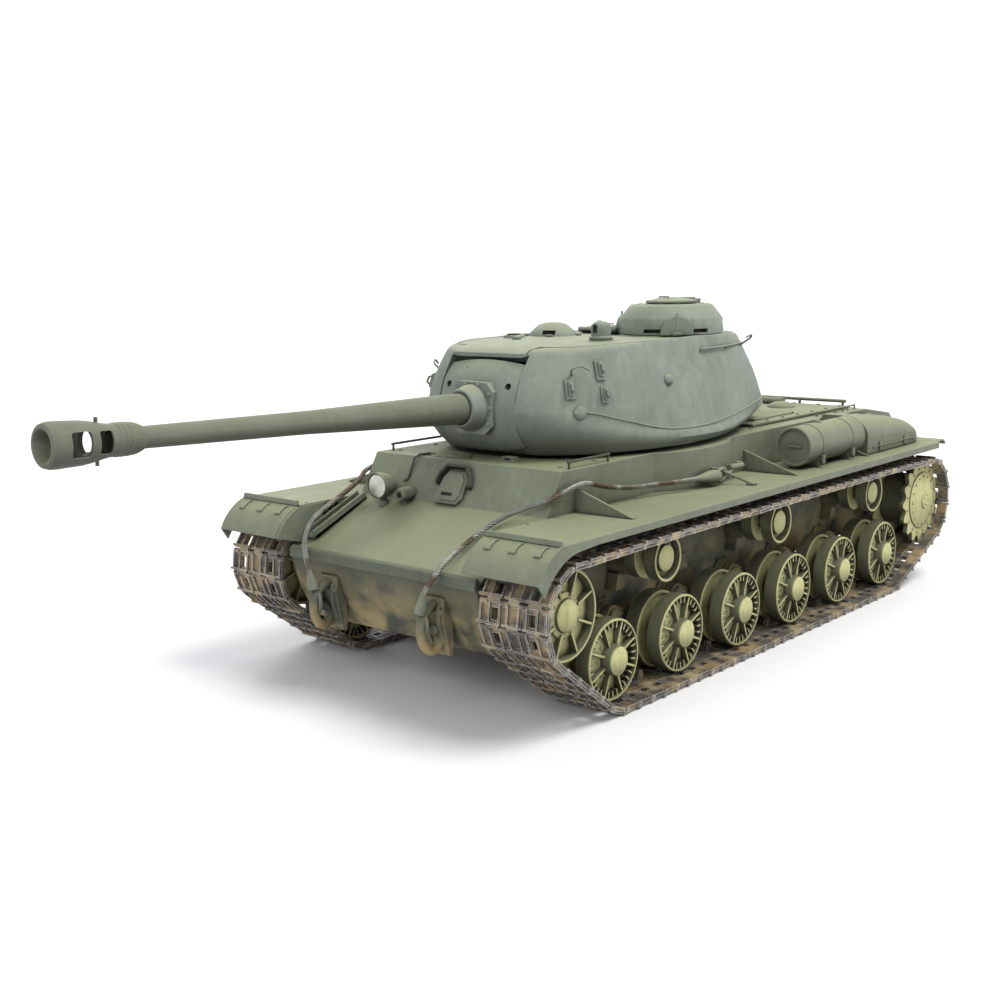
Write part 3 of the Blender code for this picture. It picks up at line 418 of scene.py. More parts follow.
def add_bevel(item, width, segments=2):
    bevel = item.modifiers.new("bevel", "BEVEL")
    bevel.width = width * MM
    bevel.segments = segments
    bevel.limit_method = "ANGLE"
    bevel.angle_limit = math.radians(32)
    bevel.harden_normals = True


def piece(name, bm, material, body, replaces=(), bevel=0.25, matrix=SHIFT):
    """A visible piece on a CAD body, standing for CAD nodes."""
    item = new_object(name, bm, material, matrix=matrix)
    if bevel:
        add_bevel(item, bevel)
    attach(item, body)
    if replaces:
        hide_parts(*replaces)
    return item


def carve(item, bm, operation="DIFFERENCE", matrix=SHIFT):
    """Cut a solid out of a piece for good."""
    tool = new_object(item.name + "_tool", bm, item.data.materials[0], matrix=matrix)
    modifier = item.modifiers.new("cut", "BOOLEAN")
    modifier.operation = operation
    modifier.solver = "EXACT"
    modifier.object = tool
    bpy.context.view_layer.update()
    seen = item.evaluated_get(bpy.context.evaluated_depsgraph_get())
    mesh = bpy.data.meshes.new_from_object(seen)
    item.modifiers.clear()
    item.data = mesh
    bpy.data.objects.remove(tool)
    mesh.set_sharp_from_angle(angle=math.radians(32))
    return item


# ---------------------------------------------------------------- hull

NOSE = [(-177.0, 28.0), (-186.0, 45.0), (-191.0, 61.5)]
TAIL = [(214.0, 61.5), (214.0, 44.0), (200.0, 28.0)]
GLACIS = [(-191.0, 61.9), (-143.0, FENDER_Z), (-131.0, ROOF_Z)]
TAIL_DECK = [(178.0, ROOF_Z), (212.0, 98.5), (221.0, 91.0), (221.0, 76.0), (214.0, 61.9)]


def lower_hull():
    tub = piece("hull_tub", prism(solid(), NOSE + TAIL, "x", -HULL_HALF, HULL_HALF), LOW_SHADED_PAINT, "hull",
                ["lower_hull"], bevel=0)
    inside = [(-171.0, 30.5), (-179.0, 45.0), (-184.0, 62.5), (210.0, 62.5), (210.0, 45.0), (197.0, 30.5)]
    carve(tub, prism(solid(), inside, "x", 2.5 - HULL_HALF, HULL_HALF - 2.5))
    add_bevel(tub, 0.8)
    bearings = solid()
    fittings = solid()
    for side_name, side in SIDES:
        for number in range(1, 7):
            pivot = joint_at(f"arm_swing_{side_name}_{number}")
            turned(bearings, [(3.4, side * 58.7), (7.4, side * 58.7), (7.4, side * 61.2), (6.4, side * 62.0),
                              (6.0, side * 63.9), (3.4, side * 64.0)], "x", (0.0, pivot.y, pivot.z), 28)
            for y, z in circle((pivot.y, pivot.z), 8.8, 6):
                bolt(fittings, (side * 60.0, y, z), "x", 0.8, side * 0.8)
            prism(fittings, [(pivot.y + 5.0, 43.0), (pivot.y + 13.0, 43.0), (pivot.y + 11.0, 51.0),
                             (pivot.y + 7.0, 51.0)], "x", *span(side, 59.5, 66.5))
        for place in ROLLERS[side_name]:
            rod(bearings, "x", (place.y, place.z - 6.0), 5.0, *span(side, 59.0, 69.5), steps=24)
            rod(bearings, "x", (place.y, place.z), 2.2, *span(side, 66.0, 87.0), steps=16)
            prism(bearings, [(place.y - 3.0, place.z - 4.0), (place.y + 3.0, place.z - 4.0),
                             (place.y + 2.0, place.z + 2.0), (place.y - 2.0, place.z + 2.0)],
                  "x", *span(side, 66.0, 70.0))
        turned(bearings, [(0.0, side * 58.5), (11.0, side * 58.5), (11.0, side * 61.5), (8.0, side * 64.0),
                          (8.0, side * 71.5), (2.7, side * 71.5), (2.7, side * 88.0), (0.0, side * 88.0)],
               "x", (0.0, IDLER.y, IDLER.z), 28)
        for y, z in circle((IDLER.y, IDLER.z), 9.6, 8):
            bolt(fittings, (side * 61.5, y, z), "x", 0.8, side * 0.7)
        turned(bearings, [(3.4, side * 58.6), (12.4, side * 58.6), (12.4, side * 64.0), (10.6, side * 69.0),
                          (3.4, side * 69.8)], "x", (0.0, SPROCKET.y, SPROCKET.z), 32)
        for y, z in circle((SPROCKET.y, SPROCKET.z), 10.4, 12):
            bolt(fittings, (side * 64.5, y, z), "x", 0.7, side * 1.6)
    piece("axle_bearings", bearings, LOW_SHADED_PAINT, "hull", bevel=0.3)
    piece("side_bolts_and_stops", fittings, LOW_SHADED_PAINT, "hull", bevel=0.15)
    hooks = solid()
    for _, side in SIDES:
        curl = [(-186.0, 51.0), (-193.0, 50.0), (-197.6, 46.0), (-199.0, 40.0), (-197.6, 34.0), (-193.6, 30.6),
                (-189.6, 31.8), (-188.4, 35.6), (-190.2, 39.0), (-193.4, 39.8)]
        route = smooth_route([(side * (34.0 + 0.25 * k), y, z) for k, (y, z) in enumerate(curl)], 4)
        tube(hooks, route, 2.3, 12)
        for low, high in ((29.6, 31.6), (37.0, 39.0)):
            prism(hooks, [(-184.0, 29.0), (-187.0, 28.6), (-192.0, 42.0), (-191.4, 50.0), (-188.0, 52.6),
                          (-184.0, 52.6)], "x", *span(side, low, high))
        prism(hooks, [(-184.0, 26.8), (-186.8, 27.2), (-190.4, 44.0), (-190.0, 54.0), (-184.0, 54.0)], "x",
              *span(side, 28.4, 40.2))
        rod(hooks, "x", (-189.6, 47.4), 1.7, *span(side, 28.0, 40.6), steps=14)
    piece("tow_hooks", hooks, LOW_SHADED_PAINT, "hull", bevel=0.5)
    rear = solid()
    for _, side in SIDES:
        prism(rear, [(212.0, 40.0), (218.0, 42.0), (220.0, 47.0), (218.0, 52.0), (212.0, 54.0)], "x",
              *span(side, 33.0, 37.0))
        for z in (34.0, 40.0, 46.0, 52.0, 58.0):
            bolt(rear, (side * 55.0, 212.4 if z > 43 else 205.0 + (z - 34.0) * 0.9, z), "y", 0.9, 1.6)
    piece("rear_tow_lugs", rear, LOW_SHADED_PAINT, "hull", bevel=0.4)


def upper_hull():
    body = piece("hull_casing", prism(solid(), GLACIS + TAIL_DECK, "x", -HULL_HALF, HULL_HALF), PLATE, "hull",
                 ["upper_hull"], bevel=0)
    inside = [(-182.0, 60.7), (-140.5, 81.8), (-129.4, 101.5), (177.5, 101.5), (210.5, 96.2), (218.0, 89.6),
              (218.0, 77.0), (210.5, 60.7)]
    carve(body, prism(solid(), inside, "x", 2.5 - HULL_HALF, HULL_HALF - 2.5))
    opening = rod(solid(), "z", (0.0, RING_Y), 54.4, 98.0, 108.0, steps=64)
    carve(body, opening)
    add_bevel(body, 0.55)
    swell = solid()
    for _, side in SIDES:
        curve = arc((0.0, RING_Y), 70.0, -31.5, 31.5, 24)
        outline = [(side * x, y) for x, y in curve] + [(side * 58.5, RING_Y + 36.5), (side * 58.5, RING_Y - 36.5)]
        prism(swell, outline, "z", 83.8, ROOF_Z - 0.4)
    piece("ring_swells", swell, PLATE, "hull", bevel=0.5)
    nose = prism(solid(), [(-191.6, 59.6), (-191.2, 64.6), (-188.6, 65.8), (-186.5, 60.0)], "x", -HULL_HALF, HULL_HALF)
    piece("nose_joint", nose, LOW_SHADED_PAINT, "hull", bevel=0.8)
    roof_details()
    driver_visor()


def roof_details():
    trim = solid()
    turned(trim, [(0.0, 105.6), (4.0, 105.5), (5.4, 105.0), (5.6, 104.6), (6.4, 104.5), (6.5, 103.6), (0.0, 103.6)],
           "z", (-12.6, -120.0, 0.0), 32)
    box(trim, (14.5, -122.8, 103.6), (24.5, -116.2, 104.6))
    box(trim, (16.0, -121.6, 104.4), (23.0, -117.4, 106.2))
    box(trim, (-28.0, -128.4, 103.6), (-12.0, -128.0, 104.3))
    for x in (-52.0, 52.0):
        for y in (-122.0, -96.0, -70.0, 35.0, 50.0):
            bolt(trim, (x, y, ROOF_Z), "z", 1.1, 0.7, 10)
    for x, y in ((-28.5, -122.0), (-20.0, -127.0), (8.0, -126.0), (30.0, -124.0), (-5.0, -122.4)):
        bolt(trim, (x, y, ROOF_Z), "z", 0.9, 0.6, 8)
    piece("roof_trim", trim, PLATE, "hull", bevel=0.25)
    dark = solid()
    box(dark, (17.4, -121.75, 104.8), (21.6, -121.0, 105.8))
    box(dark, (-14.6, -124.6, 104.6), (-10.6, -122.0, 105.45))
    piece("scope_windows", dark, HOLE, "hull", bevel=0)
    rails = solid()
    for x, rear in ((-55.0, -79.0), (58.6, -93.0)):
        tube(rails, [(x, -125.0, ROOF_Z + 3.4), (x, rear, ROOF_Z + 3.4)], 0.65, 10)
        for y in (-124.0, rear - 1.0):
            tube(rails, [(x, y, ROOF_Z - 0.4), (x, y, ROOF_Z + 3.4)], 0.6, 10)
    tube(rails, [(-28.6, -124.0, 104.6), (-29.0, -131.6, 104.8), (-29.6, -134.4, 103.6), (-31.2, -137.8, 93.6),
                 (-32.0, -140.2, 92.4)], 0.6, 8)
    piece("roof_rails", rails, DARK_PAINT, "hull", bevel=0)


def on_driver_plate(x, z, lift=0.0):
    """A point over the sloping driver's plate."""
    lean = math.atan2(12.0, 20.0)
    y = -143.0 + (z - FENDER_Z) * math.tan(lean)
    return (x, y - lift * math.cos(lean), z + lift * math.sin(lean))


def plate_slab(bm, outline, low, high):
    """A flat shape (x, z) standing off the driver's plate."""
    loft(bm, [[on_driver_plate(x, z, lift) for x, z in outline] for lift in (low, high)])


def driver_visor():
    cover = solid()
    outline = [(-7.4, 84.2), (5.8, 84.2), (8.2, 87.0), (8.2, 95.5), (5.6, 98.6), (-5.2, 98.6), (-7.8, 95.5), (-9.6, 86.4)]
    plate_slab(cover, outline, -1.0, 1.6)
    plate_slab(cover, [(x * 0.82 - 0.1, 91.4 + (z - 91.4) * 0.82) for x, z in outline], 1.5, 2.3)
    piece("driver_visor", cover, PLATE, "hull", bevel=0.5)
    guard = solid()
    hood = [(-10.6, 93.0), (-10.0, 97.4), (-6.6, 101.2), (6.4, 101.2), (10.4, 97.0), (11.8, 92.4)]
    inner = [(x * 0.9, z - 1.2) for x, z in hood]
    plate_slab(guard, hood + inner[::-1], -1.0, 3.4)
    piece("visor_guard", guard, DARK_PAINT, "hull", bevel=0.2)
    # A near-black slab over the visor's slit: painted shade of the opening.
    slit = solid()
    plate_slab(slit, [(-4.6, 87.6), (2.0, 87.6), (2.0, 88.8), (-4.6, 88.8)], 2.0, 2.6)
    piece("visor_slit", slit, HOLE, "hull", bevel=0)


def glacis_strip():
    """A ribbed channel along the right edge of the glacis, beside the fender."""
    strip = solid()
    for low, high, lift in ((-58.8, -57.6, 3.4), (-53.6, -52.4, 3.4), (-58.8, -52.4, 0.9)):
        prism(strip, [(-181.0, 67.6), (-146.0, 82.2), (-146.0 - lift * 0.38, 82.8 + lift), (-181.0 - lift * 0.38, 68.2 + lift)],
              "x", low, high)
    for k in range(6):
        y = -177.0 + 5.6 * k
        bolt(strip, (-55.6, y, 69.9 + (y + 181.0) * 0.417), "z", 0.9, 0.9)
    piece("glacis_strip", strip, PLATE, "hull", bevel=0.2)


def fender():
    for name, side in SIDES:
        top = solid()
        outline = [(-184.0, FENDER_Z), (193.0, FENDER_Z), (193.0, 82.6), (-183.4, 82.6)]
        prism(top, outline, "x", *span(side, HULL_HALF - 0.5, TRACK_OUTER - 0.2))
        rear = [(193.0, FENDER_Z), (199.0, 85.6), (203.0, 84.8), (206.0, 82.6), (205.3, 81.6), (202.6, 83.6),
                (199.0, 84.3), (193.0, 82.8)]
        prism(top, rear, "x", *span(side, HULL_HALF + 2.0, TRACK_OUTER - 1.0))
        outside = arc(FLAP_CENTRE, FLAP_RADIUS, *FLAP_ANGLES, 8)
        flap = outside + arc(FLAP_CENTRE, FLAP_RADIUS - 0.9, *FLAP_ANGLES, 8)[::-1]
        prism(top, flap, "x", *span(side, HULL_HALF + 0.8, TRACK_OUTER - 0.2))
        ridge = [(-185.0, 83.6), (-184.4, 86.0), (-183.4, 86.0), (-183.0, 83.6)]
        prism(top, ridge, "x", *span(side, HULL_HALF + 1.0, TRACK_OUTER - 0.2))
        rim = arc((IDLER.y, IDLER.z), 29.3, 96.0, 152.0, 12)
        lip = [(193.0, FENDER_Z + 0.2), (193.0, 80.5), (-160.0, 80.5)] + rim
        lip += arc(FLAP_CENTRE, FLAP_RADIUS + 0.3, *FLAP_ANGLES, 8)[::-1]
        prism(top, lip, "x", *span(side, TRACK_OUTER - 0.8, TRACK_OUTER + 0.3))
        cheek = arc(FLAP_CENTRE, FLAP_RADIUS - 0.4, *FLAP_ANGLES, 8)[::-1]
        cheek += [(-168.0, 83.4), (-172.0, 70.0), (-178.0, 64.0)]
        prism(top, cheek, "x", *span(side, HULL_HALF - 0.7, HULL_HALF + 0.8))
        piece(f"fender_{name}", top, PLATE, "hull", bevel=0.2)
        hinges = solid()
        for x in (67.5, 81.0, 94.5):
            upper, lower = arc(FLAP_CENTRE, FLAP_RADIUS + 0.1, 114.0, 126.0, 1)
            rod(hinges, "x", upper, 0.7, *span(side, x - 1.8, x + 1.8), steps=10)
            rod(hinges, "x", lower, 0.8, *span(side, x - 1.8, x + 1.8), steps=10)
            strap = arc(FLAP_CENTRE, FLAP_RADIUS + 0.6, 113.0, 127.0, 4)
            strap += arc(FLAP_CENTRE, FLAP_RADIUS - 0.2, 127.0, 113.0, 4)
            prism(hinges, strap, "x", *span(side, x - 1.2, x + 1.2))
        for y in (-121.0, 29.0, 114.4):
            web = [(side * (HULL_HALF - 0.5), 83.6), (side * 92.0, 83.6), (side * 92.0, 84.6),
                   (side * (HULL_HALF - 0.5), 95.6)]
            prism(hinges, web, "y", y - 0.6, y + 0.6)
            foot = [(side * HULL_HALF, 83.8), (side * 92.0, 83.8), (side * 92.0, 84.4), (side * HULL_HALF, 84.4)]
            prism(hinges, foot, "y", y - 0.6, y + 3.0)
            for x in (66.0, 76.0, 86.0):
                bolt(hinges, (side * x, y + 1.9, 84.4), "z", 0.6, 0.5)
        for k in range(18):
            bolt(hinges, (side * (HULL_HALF + 1.4), -178.0 + 20.5 * k, FENDER_Z), "z", 0.6, 0.5)
        piece(f"fender_braces_{name}", hinges, PLATE, "hull", bevel=0.1)


def lamp_and_horn():
    at = (-38.0, 0.0, 91.0)
    shade = solid()
    turned(shade, [(6.0, -152.2), (6.4, -153.4), (6.5, -149.6), (5.2, -145.6), (2.6, -142.8), (0.0, -142.2),
                   (0.0, -151.4), (5.7, -151.6)], "y", at, 40)
    box(shade, (-39.2, -149.6, 82.8), (-36.8, -147.2, 86.0))
    rod(shade, "z", (-38.0, -148.4), 2.4, 80.8, 83.6, steps=16)
    tube(shade, [(-38.0, -142.6, 91.0), (-38.6, -140.0, 89.6), (-39.4, -139.2, 88.0)], 0.5, 8)
    piece("headlight_shade", shade, PLATE, "hull", ["headlight"], bevel=0.15)
    face = turned(solid(), [(0.0, -153.9), (3.6, -153.6), (5.6, -152.8), (6.0, -152.0), (0.0, -152.0)], "y", at, 40)
    piece("headlight_cover", face, LENS, "hull", bevel=0)
    horn = solid()
    turned(horn, [(0.0, -149.6), (2.6, -149.6), (3.4, -148.6), (3.6, -142.0), (2.6, -139.6), (0.0, -139.4)], "y",
           (-26.0, 0.0, 87.2), 28)
    box(horn, (-27.2, -146.8, 82.2), (-24.8, -144.0, 84.6))
    rod(horn, "y", (-29.6, 86.6), 1.3, -149.4, -143.0, steps=12)
    piece("horn", horn, PLATE, "hull", bevel=0.15)
    # A near-black disc in the horn's mouth: painted shade of its hollow inside.
    mouth = turned(solid(), [(0.0, -149.9), (1.5, -149.8), (1.7, -149.2), (0.0, -149.2)], "y", (-26.0, 0.0, 87.2), 20)
    piece("horn_mouth", mouth, HOLE, "hull", bevel=0)


def engine_deck():
    low = ROOF_Z + 0.35
    deck = solid()
    box(deck, (-50.0, 56.0, low), (50.0, 172.0, low + 1.4))
    turned(deck, [(0.0, 108.0), (6.0, 107.9), (10.6, 107.0), (13.0, 106.2), (13.4, 105.4), (0.0, 105.4)], "z",
           (0.0, 92.0, 0.0), 48)
    for side in (1, -1):
        turned(deck, [(0.0, 109.2), (4.0, 109.0), (7.4, 107.6), (8.6, 106.4), (9.0, 105.4), (0.0, 105.4)], "z",
               (side * 18.0, 146.0, 0.0), 40)
        frame_at = (side * 30.0, 94.0)
        for x0, x1, y0, y1 in ((-12, 12, 70, 72), (-12, 12, 116, 118), (-12, -10, 70, 118), (10, 12, 70, 118)):
            box(deck, (frame_at[0] + x0, y0, 105.4), (frame_at[0] + x1, y1, 106.6))
        for k in range(11):
            y = 74.5 + 4.0 * k
            slat = [(y - 1.3, 105.5), (y + 1.3, 105.5), (y + 1.9, 106.5), (y + 0.9, 106.5)]
            prism(deck, slat, "x", frame_at[0] - 10.5, frame_at[0] + 10.5)
        for y in (78.0, 96.0, 114.0, 132.0, 150.0, 168.0):
            bolt(deck, (side * 46.6, y, 105.7), "z", 1.1, 0.8)
        for x in (15.0, 32.0):
            bolt(deck, (side * x, 168.6, 105.7), "z", 1.1, 0.8)
    for k in range(8):
        x, y = circle((0.0, 92.0), 11.6, 8)[k]
        bolt(deck, (x, y, 106.4), "z", 0.8, 0.9)
    piece("deck_plate", deck, PLATE, "hull", ["engine_deck"], bevel=0.2)
    pipe = solid()
    for x in (-46.0, -16.0, 16.0, 46.0):
        tube(pipe, [(x, 174.0, 103.8), (x, 174.0, 108.4)], 0.9, 10)
    tube(pipe, [(-48.0, 174.0, 108.4), (48.0, 174.0, 108.4)], 1.1, 14)
    rod(pipe, "x", (160.0, 107.6), 2.4, -12.0, 12.0, steps=24)
    for x in (-10.0, 0.0, 10.0):
        rod(pipe, "x", (160.0, 107.6), 2.8, x - 0.8, x + 0.8, steps=24)
        box(pipe, (x - 0.8, 159.0, 105.4), (x + 0.8, 161.0, 107.0))
    for _, side in SIDES:
        for y in (128.0, 152.0, 168.0):
            tube(pipe, [(side * 54.5, y - 5, 104.0), (side * 54.5, y - 5, 106.6), (side * 54.5, y + 5, 106.6),
                        (side * 54.5, y + 5, 104.0)], 0.6, 8)
    piece("deck_rail_and_pipe", pipe, PLATE, "hull", bevel=0)
    grille = solid()
    for k in range(9):
        y = 183.0 + 3.2 * k
        z = 103.2 - (y - 178.0) * 0.162
        prism(grille, [(y - 0.9, z - 0.2), (y + 0.9, z - 0.4), (y + 1.3, z + 0.7), (y + 0.3, z + 0.9)], "x", -46.0, 46.0)
    for x in (-47.5, -24.0, 0.0, 24.0, 47.5):
        prism(grille, [(180.0, 103.0), (210.5, 98.0), (210.5, 99.2), (180.0, 104.2)], "x", x - 0.9, x + 0.9)
    for x in range(-54, 55, 12):
        bolt(grille, (x, 220.8, 79.0), "y", 0.8, 0.8)
        bolt(grille, (x, 220.8, 88.0), "y", 0.8, 0.8)
    piece("tail_grille", grille, PLATE, "hull", bevel=0.15)


def drums():
    for name, side in SIDES:
        at = (side * 80.2, 0.0, 96.4)
        drum = solid()
        turned(drum, [(0.0, 49.0), (8.9, 49.0), (9.5, 48.4), (9.6, 46.9), (10.5, 46.8), (10.8, 47.2), (10.8, 111.6),
                      (10.5, 112.0), (9.6, 111.9), (9.5, 110.2), (8.9, 109.6), (0.0, 109.6)], "y", at, 56)
        for y in (47.9, 110.9):
            turned(drum, [(10.7, y - 0.7), (11.05, y - 0.4), (11.05, y + 0.4), (10.7, y + 0.7)], "y", at, 56)
        tube(drum, [(at[0] - side * 4.2, 48.9, 96.4), (at[0] - side * 4.0, 47.4, 96.4),
                    (at[0] + side * 4.0, 47.4, 96.4), (at[0] + side * 4.2, 48.9, 96.4)], 0.55, 8)
        turned(drum, [(0.0, 108.6), (1.8, 108.4), (2.0, 107.2), (0.0, 107.2)], "z", (at[0], 74.0, 0.0), 20)
        piece(f"fuel_drum_{name}", drum, PLATE, "hull", [f"fuel_drum_{name}"], bevel=0)
        straps = solid()
        for y in (62.0, 98.0):
            turned(straps, [(10.75, y - 1.1), (11.15, y - 1.1), (11.15, y + 1.1), (10.75, y + 1.1)], "y", at, 56)
            saddle = ([(at[0] - 8.0, 84.2), (at[0] + 8.0, 84.2)] + arc((at[0], 96.4), 10.9, -48.0, -132.0, 8))
            prism(straps, saddle, "y", y - 1.0, y + 1.0)
            box(straps, (at[0] + side * 10.2 - 0.8, y - 1.4, 86.6), (at[0] + side * 10.2 + 0.8, y + 1.4, 90.8))
            bolt(straps, (at[0] + side * 10.2, y, 86.8), "z", 0.8, -1.6)
        piece(f"drum_straps_{name}", straps, PLATE, "hull", bevel=0.15)


def bins():
    for name, side in SIDES:
        rings = []
        stations = ((118.0, 106.4, 12.0, 90.0), (147.0, 103.9, 11.0, 90.0), (170.0, 101.4, 9.8, 90.0),
                    (184.0, 98.8, 8.6, 89.4), (189.6, 96.4, 7.4, 88.4), (192.4, 93.2, 6.0, 86.4))
        for y, top, shoulder, outer in stations:
            centre = (outer - 16.0, top - shoulder)
            arch = [(centre[0] + 16.0 * math.cos(a), centre[1] + shoulder * math.sin(a))
                    for a in (math.pi / 2 * (1 - k / 14) for k in range(15))]
            rings.append([(side * x, y, z) for x, z in [(60.4, 84.4), (60.4, top)] + arch + [(outer, 84.4)]])
        body = solid()
        loft(body, rings)
        piece(f"stowage_bin_{name}", body, PLATE, "hull", [f"fender_bin_{name}"], bevel=0.3)
        trim = solid()
        box(trim, *zip(span(side, 89.6, 90.5), (124.0, 186.0), (87.6, 88.4)))
        for y in (134.0, 168.0):
            box(trim, *zip(span(side, 89.4, 91.0), (y - 1.6, y + 1.6), (85.8, 90.6)))
            rod(trim, "y", (side * 90.6, 88.4), 0.7, y - 2.2, y + 2.2, steps=10)
        for y in (126.0, 142.0, 158.0, 174.0):
            box(trim, *zip(span(side, 61.0, 65.0), (y - 2.4, y + 2.4), (101.0, 106.3 - (y - 118.0) * 0.088)))
        piece(f"bin_trim_{name}", trim, PLATE, "hull", bevel=0.15)


# ---------------------------------------------------------------- cables

CABLE_RADIUS = 1.3
CABLES = {
    "left": [(34.5, -199.0, 51.0), (37.0, -198.4, 58.0), (40.5, -195.6, 65.0), (39.5, -186.5, 69.8),
             (37.0, -174.0, 73.4), (37.5, -161.0, 79.0), (43.0, -151.0, 84.6), (50.5, -146.2, 88.4),
             (58.6, -142.6, 91.6), (63.0, -134.6, 94.8), (63.6, -124.0, 97.0), (63.4, -115.0, 96.6),
             (63.8, -100.0, 93.0), (64.6, -82.0, 90.4), (66.4, -64.0, 89.6), (70.4, -50.0, 89.4),
             (73.0, -38.0, 89.4), (73.6, -30.0, 89.4)],
    "right": [(-34.5, -199.0, 51.0), (-38.0, -198.2, 57.0), (-43.5, -195.4, 64.0), (-48.6, -190.6, 71.0),
              (-51.6, -183.0, 77.6), (-52.2, -172.0, 83.0), (-53.0, -160.0, 87.6), (-56.0, -148.0, 91.6),
              (-61.8, -137.0, 95.0), (-63.2, -124.0, 97.4), (-63.4, -115.0, 96.6), (-63.8, -100.0, 93.0),
              (-64.6, -82.0, 90.4), (-66.4, -64.0, 89.6), (-70.4, -50.0, 89.4), (-73.0, -38.0, 89.4),
              (-73.6, -30.0, 89.4)]}


def smooth_route(points, parts):
    """Points on a smooth curve through the given ones, several to each stretch."""
    route = []
    places = [Vector(point) for point in points]
    for k in range(len(places) - 1):
        before = places[max(k - 1, 0)]
        start, end = places[k], places[k + 1]
        after = places[min(k + 2, len(places) - 1)]
        for part in range(parts):
            t = part / parts
            route.append(0.5 * ((2 * start) + (end - before) * t
                                + (2 * before - 5 * start + 4 * end - after) * t * t
                                + (3 * start - before - 3 * end + after) * t ** 3))
    route.append(places[-1])
    return route


def strands(bm, route, radius, lobes=6, turn_length=13.0, steps=24):
    """A twisted wire rope: a lobed section that turns as it goes."""
    across = None
    travelled = 0.0
    rings = []
    for k, place in enumerate(route):
        before = route[max(k - 1, 0)]
        after = route[min(k + 1, len(route) - 1)]
        along = (after - before).normalized()
        travelled += (place - before).length
        if across is None:
            across = along.orthogonal().normalized()
        across = (across - along * across.dot(along)).normalized()
        other = along.cross(across)
        twist = math.tau * travelled / turn_length
        ring = []
        for n in range(steps):
            angle = math.tau * n / steps
            reach = radius * (0.80 + 0.20 * abs(math.cos(lobes * angle / 2)))
            ring.append(place + across * reach * math.cos(angle + twist) + other * reach * math.sin(angle + twist))
        rings.append(ring)
    loft(bm, rings)
    return bm


def cone_along(bm, start, end, profile, steps=20):
    """A turned fitting between two points; profile is (radius, share of the way)."""
    start, end = Vector(start), Vector(end)
    along = (end - start).normalized()
    across = along.orthogonal().normalized()
    other = along.cross(across)
    rings = []
    for radius, share in profile:
        base = start.lerp(end, share)
        turns = [math.tau * k / steps for k in range(steps)]
        rings.append([base + (across * math.cos(a) + other * math.sin(a)) * radius for a in turns])
    loft(bm, rings)
    return bm


def cables():
    for name, side in SIDES:
        route = smooth_route(CABLES[name], 10)
        rope = piece(f"tow_cable_rope_{name}", strands(solid(), route, CABLE_RADIUS), WIRE, "hull",
                     [f"tow_cable_{name}"], bevel=0)
        ends = solid()
        cone_along(ends, route[0] + Vector((0.0, 0.0, -3.0)), route[8], [(1.2, 0.0), (2.7, 0.05), (2.7, 0.25),
                                                                      (1.9, 0.75), (1.45, 1.0)])
        x, y, z = CABLES[name][0]
        eye = [(x + 2.6 * math.sin(a), y + 1.6, z - 8.4 + 5.0 * math.cos(a)) for a in
               (math.tau * k / 24 for k in range(24))]
        tube(ends, eye, 0.95, 10, closed=True)
        tail = Vector(CABLES[name][-1])
        cone_along(ends, route[-12], tail + Vector((side * 0.6, 9.0, -0.6)),
                   [(1.35, 0.0), (2.2, 0.3), (3.3, 0.6), (3.5, 0.85), (2.8, 1.0)])
        eye = [(tail.x + side * 0.8 + 0.4 * math.sin(a), tail.y + 12.0 + 4.4 * math.cos(a), tail.z - 0.4
                + 3.2 * math.sin(a)) for a in (math.tau * k / 24 for k in range(24))]
        tube(ends, eye, 1.0, 10, closed=True)
        fittings = piece(f"cable_sockets_{name}", ends, PLATE, "hull", bevel=0)
        clamp = solid()
        tube(clamp, [(side * 66.0, -22.5, 93.6), (side * 74.0, -18.0, 91.6), (side * 88.0, -10.5, 84.6)], 0.7, 8)
        tube(clamp, [(side * 74.4, -15.0, 89.0), (side * 72.0, -4.0, 88.6), (side * 70.4, 0.0, 90.0)], 0.9, 8)
        rod(clamp, "y", (side * 71.0, 90.4), 1.7, -4.0, 8.0, steps=16)
        bolt(clamp, (side * 71.0, 8.0, 90.4), "y", 1.4, 1.4)
        box(clamp, *zip(span(side, 68.6, 71.6), (5.2, 8.4), (88.4, 92.4)))
        box(clamp, *zip(span(side, 86.0, 90.0), (-12.6, -8.6), (83.8, 85.2)))
        piece(f"cable_clamp_{name}", clamp, PLATE, "hull", bevel=0)


# ---------------------------------------------------------------- running gear

def wheel_disc(bm, radius, low, high, rim, hub, spokes, ribs, rib_reach):
    """One disc of a wheel: rim, coned web, thin spokes and a ring of short ribs, facing +X."""
    turned(bm, [(radius - rim, low), (radius - 0.4, low), (radius, low + 0.4), (radius, high - 0.5),
                (radius - 0.5, high), (radius - rim + 0.2, high), (radius - rim, high - 0.4)], "x", steps=64)
    middle = low + (high - low) * 0.38
    turned(bm, [(0.0, middle + 2.2), (hub, middle + 2.2), (radius - rim + 0.1, middle), (radius - rim + 0.1, middle - 1.4),
                (0.0, middle - 1.4)], "x", steps=64)
    for k in range(spokes):
        blade = solid()
        prism(blade, [(hub - 1.0, -0.6), (radius - rim + 0.2, -0.5), (radius - rim + 0.2, 0.5), (hub - 1.0, 0.6)],
              "x", middle - 0.5, high - 0.35)
        bmesh.ops.rotate(blade, matrix=Matrix.Rotation(math.tau * (k + 0.5) / spokes, 3, "X"), verts=blade.verts)
        merge(bm, blade)
    for k in range(ribs):
        blade = solid()
        prism(blade, [(rib_reach, -0.35), (radius - rim + 0.2, -0.45), (radius - rim + 0.2, 0.45), (rib_reach, 0.35)],
              "x", middle - 0.5, high - 0.8)
        bmesh.ops.rotate(blade, matrix=Matrix.Rotation(math.tau * k / ribs, 3, "X"), verts=blade.verts)
        merge(bm, blade)
    return bm


